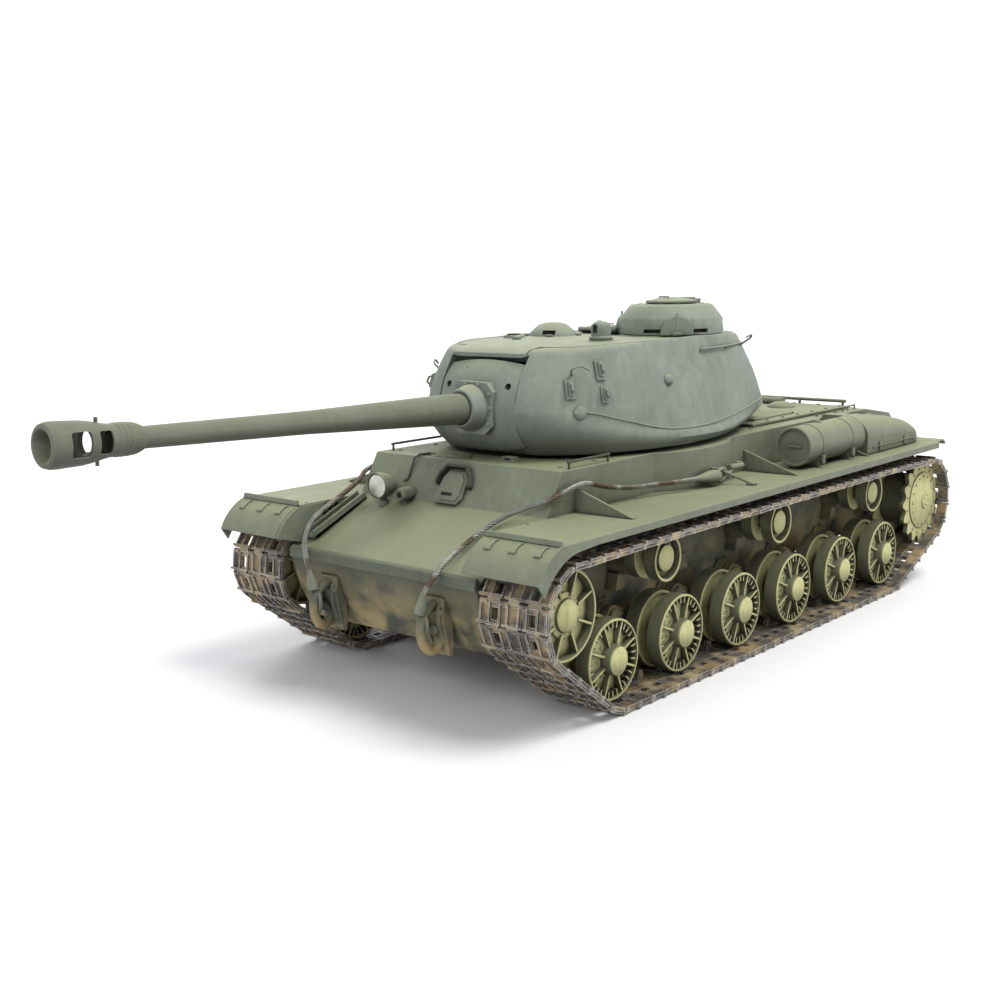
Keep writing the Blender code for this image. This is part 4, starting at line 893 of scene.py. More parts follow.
def merge(bm, other):
    """Copy one solid into another."""
    places = {vert: bm.verts.new(vert.co) for vert in other.verts}
    for face in other.faces:
        bm.faces.new([places[vert] for vert in face.verts])
    other.free()


def mirrored_x(bm):
    bmesh.ops.scale(bm, vec=(-1.0, 1.0, 1.0), verts=bm.verts)
    bmesh.ops.reverse_faces(bm, faces=bm.faces)
    return bm


def spin_piece(name, mesh, side, place, body, node):
    """A wheel that shares its mesh. The right side's copy is turned about Z, so its face looks outwards."""
    item = bpy.data.objects.new(name, mesh)
    bpy.context.scene.collection.objects.link(item)
    item.location = (SHIFT @ Vector(place)) * MM
    item.rotation_euler = (0.0, 0.0, 0.0 if side > 0 else math.pi)
    bpy.context.view_layer.update()
    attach(item, body)
    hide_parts(node)
    return item


def wheel_mesh(name, bm):
    item = new_object(name, bm, WHEEL_PAINT, matrix=Matrix.Identity(4))
    add_bevel(item, 0.12, 1)
    bpy.context.view_layer.update()
    mesh = bpy.data.meshes.new_from_object(item.evaluated_get(bpy.context.evaluated_depsgraph_get()))
    bpy.data.objects.remove(item)
    mesh.name = name
    return mesh


def hub_bolts(bm, radius, along, count, size=0.7):
    for y, z in circle((0.0, 0.0), radius, count):
        bolt(bm, (along, y, z), "x", size, 0.6)


def road_wheels():
    bm = wheel_disc(solid(), WHEEL_RADIUS, 2.6, 10.3, 1.3, 6.8, 8, 32, 14.4)
    merge(bm, mirrored_x(wheel_disc(solid(), WHEEL_RADIUS, 2.6, 10.3, 1.5, 6.8, 8, 32, 14.4)))
    turned(bm, [(0.0, 13.9), (4.0, 13.9), (4.6, 13.6), (6.4, 13.0), (6.9, 12.2), (7.1, 9.2), (7.3, 6.0), (0.0, 6.0)],
           "x", steps=40)
    turned(bm, [(3.4, -10.0), (6.4, -10.0), (6.4, -4.0), (8.4, -3.0), (8.4, 3.0), (3.4, 3.0)], "x", steps=32)
    hub_bolts(bm, 9.0, 7.2, 8)
    mesh = wheel_mesh("road_wheel", bm)
    for side_name, side in SIDES:
        for number, place in enumerate(WHEELS[side_name], 1):
            spin_piece(f"wheel_{side_name}_{number}", mesh, side, place, f"wheel_{side_name}_{number}",
                       f"road_wheel_{side_name}_{number}")


def rollers():
    bm = solid()
    for low, high in ((2.6, 9.0), (-9.0, -2.6)):
        outer = high if high > 0 else low
        inner = low if high > 0 else high
        turned(bm, [(9.7, inner), (11.0, inner), (11.0, outer), (9.9, outer), (9.7, outer * 0.97)], "x", steps=48)
        turned(bm, [(2.8, outer * 0.3), (9.8, outer * 0.3), (9.8, outer * 0.52), (2.8, outer * 0.62)], "x", steps=40)
    turned(bm, [(0.0, 8.9), (4.6, 8.7), (6.2, 8.0), (6.6, 6.6), (6.6, 4.6), (0.0, 4.6)], "x", steps=36)
    turned(bm, [(2.8, -6.0), (4.4, -6.0), (4.4, 4.6), (2.8, 4.6)], "x", steps=24)
    hub_bolts(bm, 7.9, 5.0, 8, 0.5)
    mesh = wheel_mesh("return_roller", bm)
    for side_name, side in SIDES:
        for number, place in enumerate(ROLLERS[side_name], 1):
            spin_piece(f"roller_{side_name}_{number}", mesh, side, place, f"roller_{side_name}_{number}",
                       f"return_roller_{side_name}_{number}")


def idlers():
    bm = wheel_disc(solid(), IDLER_RADIUS, 2.6, 10.3, 1.6, 9.6, 8, 0, 16.0)
    merge(bm, mirrored_x(wheel_disc(solid(), IDLER_RADIUS, 2.6, 10.3, 1.6, 9.6, 8, 0, 16.0)))
    turned(bm, [(0.0, 11.4), (5.6, 11.2), (7.2, 10.4), (7.6, 9.2), (9.8, 8.8), (10.2, 8.2), (10.2, 5.0), (0.0, 5.0)],
           "x", steps=48)
    turned(bm, [(3.4, -9.6), (8.6, -9.6), (8.6, 4.6), (3.4, 4.6)], "x", steps=32)
    hub_bolts(bm, 8.7, 8.8, 10, 0.6)
    mesh = wheel_mesh("idler_wheel", bm)
    for side_name, side in SIDES:
        spin_piece(f"idler_wheel_{side_name}", mesh, side, (side * TRACK_X, IDLER.y, IDLER.z),
                   f"idler_wheel_{side_name}", f"idler_{side_name}")


def sprockets():
    teeth = 16
    bm = solid()
    for middle in (10.0, -10.0):
        outline = []
        for tooth in range(teeth):
            for offset, radius in ((-0.5, 22.2), (-0.36, 22.6), (-0.16, 25.6), (-0.10, 26.1), (0.10, 26.1),
                                   (0.16, 25.6), (0.36, 22.6)):
                angle = math.pi / 2 + (tooth + offset) * math.tau / teeth
                outline.append((radius * math.cos(angle), radius * math.sin(angle)))
        prism(bm, outline, "x", middle - 1.3, middle + 1.3)
        for tooth in range(teeth):
            angle = math.pi / 2 + (tooth + 0.5) * math.tau / teeth
            reach = 1.3 if middle > 0 else -1.3
            bolt(bm, (middle + reach, 20.2 * math.cos(angle), 20.2 * math.sin(angle)), "x", 0.8, reach * 0.5)
    turned(bm, [(0.0, 14.5), (4.6, 14.4), (5.2, 13.6), (11.0, 13.2), (12.4, 12.8), (16.4, 12.4), (17.4, 12.0),
                (17.8, 11.0), (17.8, 9.0), (16.0, 8.4), (16.0, -9.0), (9.0, -11.4), (2.7, -11.4), (2.7, -33.9),
                (0.0, -33.9)], "x", steps=56)
    hub_bolts(bm, 15.0, 12.5, 16, 0.7)
    hub_bolts(bm, 3.2, 14.4, 5, 0.5)
    mesh = wheel_mesh("sprocket", bm)
    for side_name, side in SIDES:
        spin_piece(f"drive_sprocket_{side_name}", mesh, side, (side * TRACK_X, SPROCKET.y, SPROCKET.z),
                   f"drive_sprocket_{side_name}", f"sprocket_{side_name}")


def arms():
    for side_name, side in SIDES:
        for number in range(1, 7):
            pivot = joint_at(f"arm_swing_{side_name}_{number}")
            axle = WHEELS[side_name][number - 1]
            lean = math.degrees(math.atan2(axle.z - pivot.z, axle.y - pivot.y))
            arm = solid()
            for grow, low, high in ((0.0, 64.4, 68.6), (-1.6, 68.4, 69.6)):
                plate = arc((pivot.y, pivot.z), 5.2 + grow, lean + 90, lean + 270, 12)
                plate += arc((axle.y, axle.z), 4.6 + grow, lean - 90, lean + 90, 12)
                prism(arm, plate, "x", *span(side, low, high))
            rod(arm, "x", (pivot.y, pivot.z), 2.7, *span(side, 59.0, 66.0), steps=20)
            rod(arm, "x", (axle.y, axle.z), 2.7, *span(side, 68.0, 87.0), steps=20)
            turned(arm, [(0.0, side * 71.2), (2.4, side * 71.0), (3.6, side * 70.0), (3.8, side * 69.0),
                         (0.0, side * 69.0)], "x", (0.0, pivot.y, pivot.z), 24)
            piece(f"arm_{side_name}_{number}", arm, LOW_SHADED_PAINT, f"arm_{side_name}_{number}",
                  [f"swing_arm_{side_name}_{number}"], bevel=0.25)


def track_path():
    """The belt's inner line as stretches: (start, direction, length) runs and (centre, radius, start, sweep) bends."""
    gap = 0.35
    wheels = WHEELS["left"]
    rounds = (((IDLER.y, IDLER.z), IDLER_RADIUS + gap), ((wheels[0].y, wheels[0].z), WHEEL_RADIUS + gap),
              ((wheels[5].y, wheels[5].z), WHEEL_RADIUS + gap), ((SPROCKET.y, SPROCKET.z), 23.0 + gap),
              ((ROLLERS["left"][2].y, ROLLERS["left"][2].z), ROLLER_RADIUS + gap),
              ((ROLLERS["left"][0].y, ROLLERS["left"][0].z), ROLLER_RADIUS + gap))
    leans = []
    for k, (first, radius) in enumerate(rounds):
        second, other = rounds[(k + 1) % len(rounds)]
        reach = math.hypot(second[0] - first[0], second[1] - first[1])
        heading = math.atan2(second[1] - first[1], second[0] - first[0])
        leans.append(heading - math.acos((radius - other) / reach))
    pieces = []
    for k, (centre, radius) in enumerate(rounds):
        sweep = (leans[k] - leans[k - 1]) % math.tau
        pieces.append(("bend", centre, radius, leans[k - 1], sweep))
        normal = (math.cos(leans[k]), math.sin(leans[k]))
        second, other = rounds[(k + 1) % len(rounds)]
        start = (centre[0] + radius * normal[0], centre[1] + radius * normal[1])
        end = (second[0] + other * normal[0], second[1] + other * normal[1])
        pieces.append(("run", start, end, normal, math.hypot(end[0] - start[0], end[1] - start[1])))
    return pieces


def track_stations(count):
    """Evenly spaced places round the belt: (y, z, angle of the outward normal)."""
    pieces = track_path()
    lengths = [item[2] * item[4] if item[0] == "bend" else item[4] for item in pieces]
    step = sum(lengths) / count
    stations = []
    for k in range(count):
        left = step * k
        for item, length in zip(pieces, lengths):
            if left <= length:
                break
            left -= length
        if item[0] == "bend":
            _, centre, radius, start, _ = item
            angle = start + left / radius
            stations.append((centre[0] + radius * math.cos(angle), centre[1] + radius * math.sin(angle), angle))
        else:
            _, start, end, normal, _ = item
            share = left / length
            stations.append((start[0] + (end[0] - start[0]) * share, start[1] + (end[1] - start[1]) * share,
                             math.atan2(normal[1], normal[0])))
    return stations, step


def track_link(step, horned):
    """One cast link: X across the belt, Y along it and Z outwards from the wheels' side."""
    half = step / 2
    bm = solid()
    for low, high in ((-18.4, -12.2), (-7.8, 7.8), (12.2, 18.4)):
        box(bm, (low, -half + 0.9, 0.5), (high, half - 0.9, 2.2))
    for middle in (-10.0, 10.0):
        for low, high in ((-half + 0.9, -half + 2.4), (half - 2.4, half - 0.9)):
            box(bm, (middle - 2.6, low, 0.7), (middle + 2.6, high, 2.2))
    for x in (-17.6, -13.0, -7.2, -3.0, 3.0, 7.2, 13.0, 17.6):
        box(bm, (x - 0.5, -half + 0.5, 2.0), (x + 0.5, half - 0.6, 3.3))
    for low, high in ((-18.9, -6.2), (-5.2, 5.2), (6.2, 18.9)):
        tall = 3.6 if low == -5.2 else 4.0
        bar = [(-half + 0.4, 2.0), (-half + 0.6, tall), (-half + 1.6, tall), (-half + 1.9, 2.0)]
        prism(bm, bar, "x", low, high)
    for sign, spans in ((1, ((-18.6, -14.8), (-7.4, -3.2), (3.2, 7.4), (14.8, 18.6))),
                        (-1, ((-14.4, -7.8), (-2.8, 2.8), (7.8, 14.4)))):
        for low, high in spans:
            rod(bm, "x", (sign * (half - 0.2), 1.6), 1.35, low, high, steps=10)
    rod(bm, "x", (half - 0.2, 1.6), 0.7, -18.95, 18.95, steps=6)
    if horned:
        horn = [(-2.8, 0.6), (-1.1, -4.3), (1.1, -4.3), (2.8, 0.6)]
        prism(bm, horn, "x", -1.1, 1.1)
    return bm


def tracks():
    count = 2 * round(sum(i[2] * i[4] if i[0] == "bend" else i[4] for i in track_path()) / 20.0)
    stations, step = track_stations(count)
    draw = random.Random(7)
    for side_name, side in SIDES:
        belt = solid()
        for number, (y, z, angle) in enumerate(stations):
            link = track_link(step, number % 2 == 0)
            loose = draw.uniform(-0.025, 0.025)
            turn = Matrix.Rotation(angle - math.pi / 2 + loose, 4, "X")
            place = Matrix.Translation((side * TRACK_X + draw.uniform(-0.12, 0.12), y, z))
            bmesh.ops.transform(link, matrix=place @ turn, verts=link.verts)
            merge(belt, link)
        piece(f"track_links_{side_name}", belt, LINK_METAL, "hull", [f"track_{side_name}"], bevel=0)


# ---------------------------------------------------------------- turret

BASE_Z = 106.0
TOP_Z = 158.0
SEAT_Z = 158.6
BASE_LINE = [(0.0, -88.0), (15.0, -88.0), (29.0, -85.5), (43.0, -74.0), (54.0, -54.0), (61.5, -28.0), (63.6, 4.0),
             (59.0, 32.0), (48.0, 56.0), (30.0, 66.0), (14.0, 68.0), (0.0, 68.5)]
BELT_LINE = [(0.0, -103.0, 128.0), (16.0, -102.6, 128.0), (30.0, -99.0, 127.6), (43.0, -89.0, 126.0),
             (54.5, -64.0, 120.5), (62.5, -32.0, 115.6), (65.4, 2.0, 113.6), (62.0, 36.0, 113.0),
             (53.0, 72.0, 113.6), (38.0, 108.0, 116.0), (19.0, 114.0, 116.6), (0.0, 115.0, 116.8)]
ROOF_LINE = [(0.0, -90.0, 154.2), (12.0, -90.0, 154.2), (22.5, -89.5, 154.2), (35.5, -82.0, 154.6),
             (46.0, -64.0, 155.2), (51.4, -38.0, 156.4), (52.5, -8.0, 157.4), (51.5, 30.0, 157.4),
             (47.0, 60.0, 156.4), (30.0, 90.0, 154.6), (15.0, 94.5, 154.2), (0.0, 95.5, 154.0)]
SHIELD_RADIUS = 30.0
SHIELD_BACK = 25.2
SHIELD_HALF = 24.0


def closed_ring(half, parts=5):
    """A half outline smoothed and mirrored into a closed ring."""
    first, last = half[1], half[-2]
    padded = [(-first[0], *first[1:])] + list(half) + [(-last[0], *last[1:])]
    route = smooth_route(padded, parts)[parts:-parts]
    return route + [Vector((-p.x, p.y, p.z)) for p in route[-2:0:-1]]


def turret_levels(inset=0.0, drop=0.0):
    """Rings of the turret's surface from its foot to its crown, in hull coordinates."""
    base = closed_ring([(x, y, BASE_Z) for x, y in BASE_LINE])
    belt = closed_ring(BELT_LINE)
    roof = closed_ring(ROOF_LINE)
    rings = []
    for lower, upper, bulge, shares in ((base, belt, 0.035, (0.0, 0.25, 0.5, 0.75, 0.93)),
                                        (belt, roof, 0.022, (0.0, 0.08, 0.2, 0.36, 0.52, 0.68, 0.84, 0.95))):
        for share in shares:
            swell = 1 + bulge * math.sin(math.pi * share)
            mixed = [b.lerp(t, share) for b, t in zip(lower, upper)]
            rings.append([Vector((p.x * swell, p.y * swell, p.z)) for p in mixed])
    rings.append(roof)
    rings.append([Vector((p.x * 0.984, p.y * 0.987, p.z + 1.2)) for p in roof])
    rings.append([Vector((p.x * 0.96, p.y * 0.965, min(p.z + 2.2, TOP_Z - 0.2))) for p in roof])
    rings.append([Vector((p.x * 0.88, min(max(p.y, -48.0), 62.0), TOP_Z)) for p in roof])
    shaped = []
    for ring in rings:
        shaped.append([Vector((p.x * (1 - inset / math.hypot(p.x, p.y)),
                               RING_Y + p.y * (1 - inset / math.hypot(p.x, p.y)), p.z - drop)) for p in ring])
    return shaped


def turret():
    body = solid()
    loft(body, turret_levels())
    bmesh.ops.recalc_face_normals(body, faces=body.faces)
    skin = BVHTree.FromBMesh(body)
    shell = piece("turret_casting", body, CAST, "turret", ["turret_shell"], bevel=0)
    lip = solid()
    for at, radius in ((CUPOLA_AT, 28.0), (LOADER_AT, 15.0), (PERISCOPE_AT, 7.0)):
        turned(lip, [(0.0, SEAT_Z), (radius - 0.8, SEAT_Z), (radius, SEAT_Z - 0.5), (radius + 0.6, 156.0),
                     (radius + 0.6, 150.0), (0.0, 150.0)], "z", (*at, 0.0), 56)
    carve(shell, lip, "UNION")
    inner = turret_levels(5.0, 3.6)
    floor_ring = [Vector((p.x * 0.97, p.y, 121.0)) for p in inner[5]]
    room = solid()
    loft(room, [floor_ring, inner[-4], inner[-2], inner[-1]])
    carve(shell, room)
    carve(shell, rod(solid(), "z", (0.0, RING_Y), 50.0, 100.0, 123.0, steps=64))
    carve(shell, box(solid(), (-13.4, -124.0, 109.6), (13.4, -60.0, 149.6)))
    centre = (TRUNNION.y, TRUNNION.z)
    window = arc(centre, SHIELD_BACK - 0.6, 119.0, 228.0, 24) + arc(centre, SHIELD_RADIUS + 20.0, 228.0, 126.0, 14)
    window += arc(centre, SHIELD_RADIUS + 0.5, 126.0, 119.0, 3)
    carve(shell, prism(solid(), window, "x", -SHIELD_HALF - 0.6, SHIELD_HALF + 0.6))
    ports = rod(solid(), "z", CUPOLA_AT, 20.0, 140.0, 164.0, steps=48)
    rod(ports, "z", LOADER_AT, 11.5, 140.0, 164.0, steps=40)
    rod(ports, "z", PERISCOPE_AT, 3.5, 140.0, 164.0, steps=20)
    carve(shell, ports)
    bearings = solid()
    y = TRUNNION.y
    for _, side in SIDES:
        for low, high, foot, head in ((-6.0, -4.4, 120.0, 153.0), (4.4, 6.0, 120.0, 153.0), (-5.0, 5.0, 120.0, 123.4),
                                      (-5.0, 5.0, 132.8, 153.0)):
            box(bearings, *zip(span(side, 25.0, 30.0), (y + low, y + high), (foot, head)))
    piece("trunnion_bearings", bearings, DARK_PAINT, "turret", bevel=0.2)
    weld_seams(skin)
    turret_lugs(skin)
    roof_fittings(skin)
    cupola()
    hatches()
    periscope()


def side_point(skin, y, z, side=1, lift=0.0):
    """A point on the turret's side, found by looking straight across at it."""
    place, normal, _, _ = skin.ray_cast(Vector((side * 150.0, y, z)), Vector((-side, 0.0, 0.0)))
    return place + normal * lift


def roof_point(skin, x, y, lift=0.0):
    place, normal, _, _ = skin.ray_cast(Vector((x, y, 220.0)), Vector((0.0, 0.0, -1.0)))
    return place + normal * lift


def weld_seams(skin):
    seam = solid()
    edge = [(22.0, -77.0), (36.0, -73.0), (44.0, -60.0), (48.6, -38.0), (49.8, -8.0), (49.0, 30.0), (44.6, 57.0),
            (29.0, 85.0), (14.0, 89.5)]
    half = smooth_route([(x, y, 0.0) for x, y in edge], 6)
    around = [Vector((p.x, p.y + RING_Y, 0.0)) for p in half]
    around = [Vector((-p.x, p.y, 0.0)) for p in around[::-1]] + around
    tube(seam, [roof_point(skin, p.x, p.y, 0.05) for p in around], 0.42, 6)
    for side in (1, -1):
        route = smooth_route([(0.0, y, z) for y, z in SIDE_SEAM], 5)
        tube(seam, [side_point(skin, p.y, p.z, side, 0.1) for p in route], 0.5, 6)
    piece("weld_seams", seam, CAST, "turret", bevel=0)


SIDE_SEAM = [(-98.0, 126.9), (-92.4, 125.9), (-75.1, 121.2), (-56.0, 116.6), (-42.5, 114.8), (-17.4, 114.4),
             (8.0, 115.8), (25.6, 117.0), (53.6, 118.4), (84.0, 119.0)]


def turret_lug(skin, y, z, side, wide, tall):
    """A cast lug: a plate lying on the skin with a raised rib and a bent hook in front of it."""
    place = side_point(skin, y, z, side)
    out = skin.find_nearest(place)[1]
    along = Vector((0.0, 0.0, 1.0)).cross(out).normalized()
    up = out.cross(along)
    local = solid()
    box(local, (-wide / 2, -tall / 2, -1.2), (wide / 2, tall / 2, 1.1))
    box(local, (-wide * 0.22, -tall * 0.34, 0.4), (wide * 0.22, tall * 0.40, 2.4))
    tube(local, [(0.0, tall * 0.24, 2.0), (0.0, tall * 0.20, 3.6), (0.0, -tall * 0.10, 3.9), (0.0, -tall * 0.22, 2.0)],
         0.7, 8)
    matrix = Matrix((along, up, out)).transposed().to_4x4()
    matrix.translation = place
    bmesh.ops.transform(local, matrix=matrix, verts=local.verts)
    return local


def turret_lugs(skin):
    lugs = solid()
    for side in (1, -1):
        for y, z, wide, tall in LUGS:
            merge(lugs, turret_lug(skin, y, z, side, wide, tall))
        boss = side_point(skin, *WELD_BOSS, side)
        out = skin.find_nearest(boss)[1]
        knob = turned(solid(), [(0.0, 1.7), (2.2, 1.5), (3.4, 0.8), (3.6, -2.0), (0.0, -2.0)], "z", steps=24)
        box(knob, (-3.6, -0.6, -1.0), (3.6, 0.6, 1.5))
        bmesh.ops.transform(knob, matrix=Matrix.Translation(boss) @ out.to_track_quat("Z", "Y").to_matrix().to_4x4(),
                            verts=knob.verts)
        merge(lugs, knob)
        wire = [side_point(skin, y, z, side, lift) for y, z, lift in SPARE_HOOK]
        tube(lugs, smooth_route(wire, 4), 0.55, 8)
        bar = [side_point(skin, y, 151.4, side, 1.8) for y in RAIL_SPAN]
        tube(lugs, bar, 0.62, 8)
        for place in bar:
            foot = side_point(skin, place.y, 150.6, side, -0.6)
            tube(lugs, [place, foot], 0.55, 8)
        loop = [(side * 36.0, 71.0, 153.6), (side * 36.4, 75.6, 154.6), (side * 33.0, 80.4, 152.6),
                (side * 27.0, 81.4, 149.0), (side * 25.6, 77.6, 146.4), (side * 25.6, 74.0, 146.0)]
        tube(lugs, smooth_route(loop, 4), 0.6, 8)
    port = side_point(skin, *PISTOL_PORT)
    out = skin.find_nearest(port)[1]
    plug = turned(solid(), [(0.0, 2.4), (1.2, 2.3), (2.4, 1.5), (2.9, 0.4), (3.0, -2.0), (0.0, -2.0)], "z", steps=28)
    bmesh.ops.transform(plug, matrix=Matrix.Translation(port) @ out.to_track_quat("Z", "Y").to_matrix().to_4x4(),
                        verts=plug.verts)
    merge(lugs, plug)
    turned(lugs, [(0.0, 88.6), (3.4, 88.4), (4.8, 87.4), (5.0, 80.0), (0.0, 80.0)], "y", (0.0, 0.0, 138.0), 28)
    piece("turret_lugs_and_rails", lugs, CAST, "turret", bevel=0.15)


LUGS = ((-104.0, 138.0, 4.8, 9.6), (-87.2, 146.0, 4.8, 9.8), (-87.5, 134.6, 3.8, 8.0))
WELD_BOSS = (-100.9, 127.1)
SPARE_HOOK = ((-101.0, 144.6, 0.2), (-101.6, 146.0, 3.2), (-98.0, 147.4, 4.4), (-94.0, 145.6, 3.6))
RAIL_SPAN = (-8.0, 20.0, 49.0)
PISTOL_PORT = (-43.6, 138.7)


def roof_fittings(skin):
    """The front cover strip, the ventilator dome, the sight disc and small bosses on the turret roof."""
    x, y = FAN_AT
    dome = solid()
    turned(dome, [(0.0, 165.4), (4.0, 165.2), (7.6, 164.2), (11.6, 160.8), (12.8, 159.2), (13.2, 158.2), (14.2, 157.9),
                  (14.2, 154.0), (0.0, 154.0)], "z", (x, y, 0.0), 56)
    roof = solid()
    for angle in range(30, 390, 90):
        foot = solid()
        box(foot, (11.6, -1.8, 156.6), (15.4, 1.8, 159.2))
        bmesh.ops.rotate(foot, matrix=Matrix.Rotation(math.radians(angle), 3, "Z"), verts=foot.verts)
        bmesh.ops.translate(foot, vec=(x, y, 0.0), verts=foot.verts)
        merge(roof, foot)
    turned(roof, [(0.0, 160.2), (4.4, 160.1), (5.6, 159.5), (5.8, 158.4), (6.7, 158.1), (6.7, 154.0), (0.0, 154.0)],
           "z", (-32.0, -54.0, 0.0), 40)
    for x, y in ((-40.0, 30.0), (13.0, -41.0), (10.0, 44.0), (-22.0, -64.0)):
        top = roof_point(skin, x, y)
        turned(roof, [(0.0, 2.0), (1.7, 1.9), (2.3, 1.2), (2.5, -1.0), (0.0, -1.0)], "z", top, 24)
    turned(roof, [(0.0, -11.0), (2.2, -11.0), (2.5, -10.4), (2.5, 6.0), (2.2, 6.6), (0.0, 6.6)], "y",
           (-3.0, 0.0, 160.6), 24)
    rod(roof, "z", (-14.0, -2.0), 0.9, 156.0, 164.2, steps=14)
    rod(roof, "z", (-14.0, -2.0), 1.6, 163.6, 165.4, steps=14)
    piece("turret_roof_fittings", roof, CAST, "turret", bevel=0.2)
    fan = piece("ventilator_dome", dome, CAST, "turret", bevel=0)
    slots = solid()
    for angle in (-62.0, 58.0, 178.0):
        slot = box(solid(), (8.0, -3.6, 159.0), (16.0, 3.6, 161.4))
        bmesh.ops.rotate(slot, matrix=Matrix.Rotation(math.radians(angle), 3, "Z"), verts=slot.verts)
        bmesh.ops.translate(slot, vec=(*FAN_AT, 0.0), verts=slot.verts)
        merge(slots, slot)
    carve(fan, slots)
    add_bevel(fan, 0.2)
    strip = solid()
    stations = []
    for x in (-23.4, 23.4):
        stations.append([(x, -111.9, 153.2), (x, -111.9, 154.6), (x, -108.9, 156.5), (x, -99.0, 157.6), (x, -98.4, 157.2),
                         (x, -99.0, 156.0), (x, -107.6, 155.8), (x, -110.6, 154.2)])
    loft(strip, stations)
    piece("mantlet_cover", strip, CAST, "turret", bevel=0.15)
    # A near-black disc inside the ventilator dome, painted shade of its hollow seen through the slots, and a dark patch
    # on the sight disc.
    dark = solid()
    turned(dark, [(0.0, 162.2), (7.9, 162.2), (8.6, 158.6), (0.0, 158.6)], "z", (*FAN_AT, 0.0), 32)
    prism(dark, [(-32.0, -59.4), (-28.4, -57.6), (-27.4, -54.4), (-28.6, -52.6), (-32.2, -52.4), (-35.2, -55.4)], "z",
          159.8, 160.5)
    piece("roof_ports", dark, HOLE, "turret", bevel=0)


FAN_AT = (-28.0, -26.0)


def cupola():
    base = SEAT_Z + 0.35
    x, y = CUPOLA_AT
    drum = solid()
    turned(drum, [(27.4, base), (27.6, 166.4), (27.0, 167.6), (22.8, 173.0), (21.8, 174.0), (20.5, 174.4), (12.9, 174.4),
                  (12.6, 174.1), (12.6, 171.8), (19.5, 171.8), (24.4, 165.6), (24.4, base)], "z", (x, y, 0.0), 80)
    shell = piece("cupola_drum", drum, CAST, "turret", ["cupola"], bevel=0)
    slits = solid()
    for middle in SLIT_ANGLES:
        for turn in (-26.0, 26.0):
            slot = box(solid(), (22.0, -5.6, 159.9), (30.0, 5.6, 161.9))
            bmesh.ops.rotate(slot, matrix=Matrix.Rotation(math.radians(middle + turn), 3, "Z"), verts=slot.verts)
            bmesh.ops.translate(slot, vec=(x, y, 0.0), verts=slot.verts)
            merge(slits, slot)
    carve(shell, slits)
    add_bevel(shell, 0.25)
    core = solid()
    turned(core, [(24.9, 159.4), (24.9, 162.6), (24.2, 162.6), (24.2, 159.4)], "z", (x, y, 0.0), 64)
    piece("cupola_glass", core, HOLE, "turret", bevel=0)
    blocks = solid()
    for middle in SLIT_ANGLES:
        block = solid()
        outline = [(-8.6, base), (8.6, base), (8.2, 162.4), (5.6, 166.6), (2.0, 168.6), (-2.0, 168.6), (-5.6, 166.6),
                   (-8.2, 162.4)]
        prism(block, outline, "x", 22.0, 29.2)
        tube(block, [(29.0, 0.0, base + 1.0), (29.2, 0.0, 170.4)], 0.6, 8)
        box(block, (28.4, -2.6, base), (30.8, 2.6, base + 1.6))
        bmesh.ops.rotate(block, matrix=Matrix.Rotation(math.radians(middle), 3, "Z"), verts=block.verts)
        bmesh.ops.translate(block, vec=(x, y, 0.0), verts=block.verts)
        merge(blocks, block)
    for k in range(12):
        bx, by = circle(CUPOLA_AT, 17.4, 12, 0.26)[k]
        if abs(bx - x) > 6.0 or by < y:
            bolt(blocks, (bx, by, 174.3), "z", 0.7, 0.5)
    for sign in (1, -1):
        box(blocks, (x + sign * 6.4 - 1.2, 22.6, 174.0), (x + sign * 6.4 + 1.2, 27.6, 176.8))
    piece("cupola_blocks", blocks, CAST, "turret", bevel=0.35)


SLIT_ANGLES = (-50.0, 70.0, 190.0)


def lid(name, at, radius, seat, height, hinge_side, body, node):
    """A domed lid with a raised edge, a handle and a hinge knuckle."""
    hinge_y = at[1] + hinge_side * (radius + 2.4)
    cover = solid()
    turned(cover, [(0.0, seat), (radius - 0.4, seat), (radius, seat + 0.3), (radius, seat + 1.2),
                   (radius - 0.6, seat + 1.7), (radius * 0.82, seat + height * 0.55), (radius * 0.55, seat + height * 0.86),
                   (radius * 0.25, seat + height * 0.98), (0.0, seat + height)], "z", (*at, 0.0), 56)
    rod(cover, "x", (hinge_y, seat + 1.6), 1.3, at[0] - 4.5, at[0] + 4.5, steps=20)
    low, high = sorted((at[1] + hinge_side * (radius - 4.0), hinge_y))
    box(cover, (at[0] - 4.0, low, seat + 0.3), (at[0] + 4.0, high, seat + 2.0))
    grip_y = at[1] - hinge_side * radius * 0.5
    top = seat + height * 0.84
    tube(cover, [(at[0] - 3.0, grip_y, top - 0.6), (at[0] - 3.0, grip_y, top + 0.9), (at[0] + 3.0, grip_y, top + 0.9),
                 (at[0] + 3.0, grip_y, top - 0.6)], 0.4, 8)
    piece(name, cover, CAST, body, [node], bevel=0.25)


def hatches():
    lid("cupola_lid", CUPOLA_AT, 13.6, 174.75, 3.2, 1, "cupola_lid", "cupola_hatch")
    lid("loader_lid", LOADER_AT, 13.0, SEAT_Z + 0.35, 3.2, -1, "loader_lid", "loader_hatch")


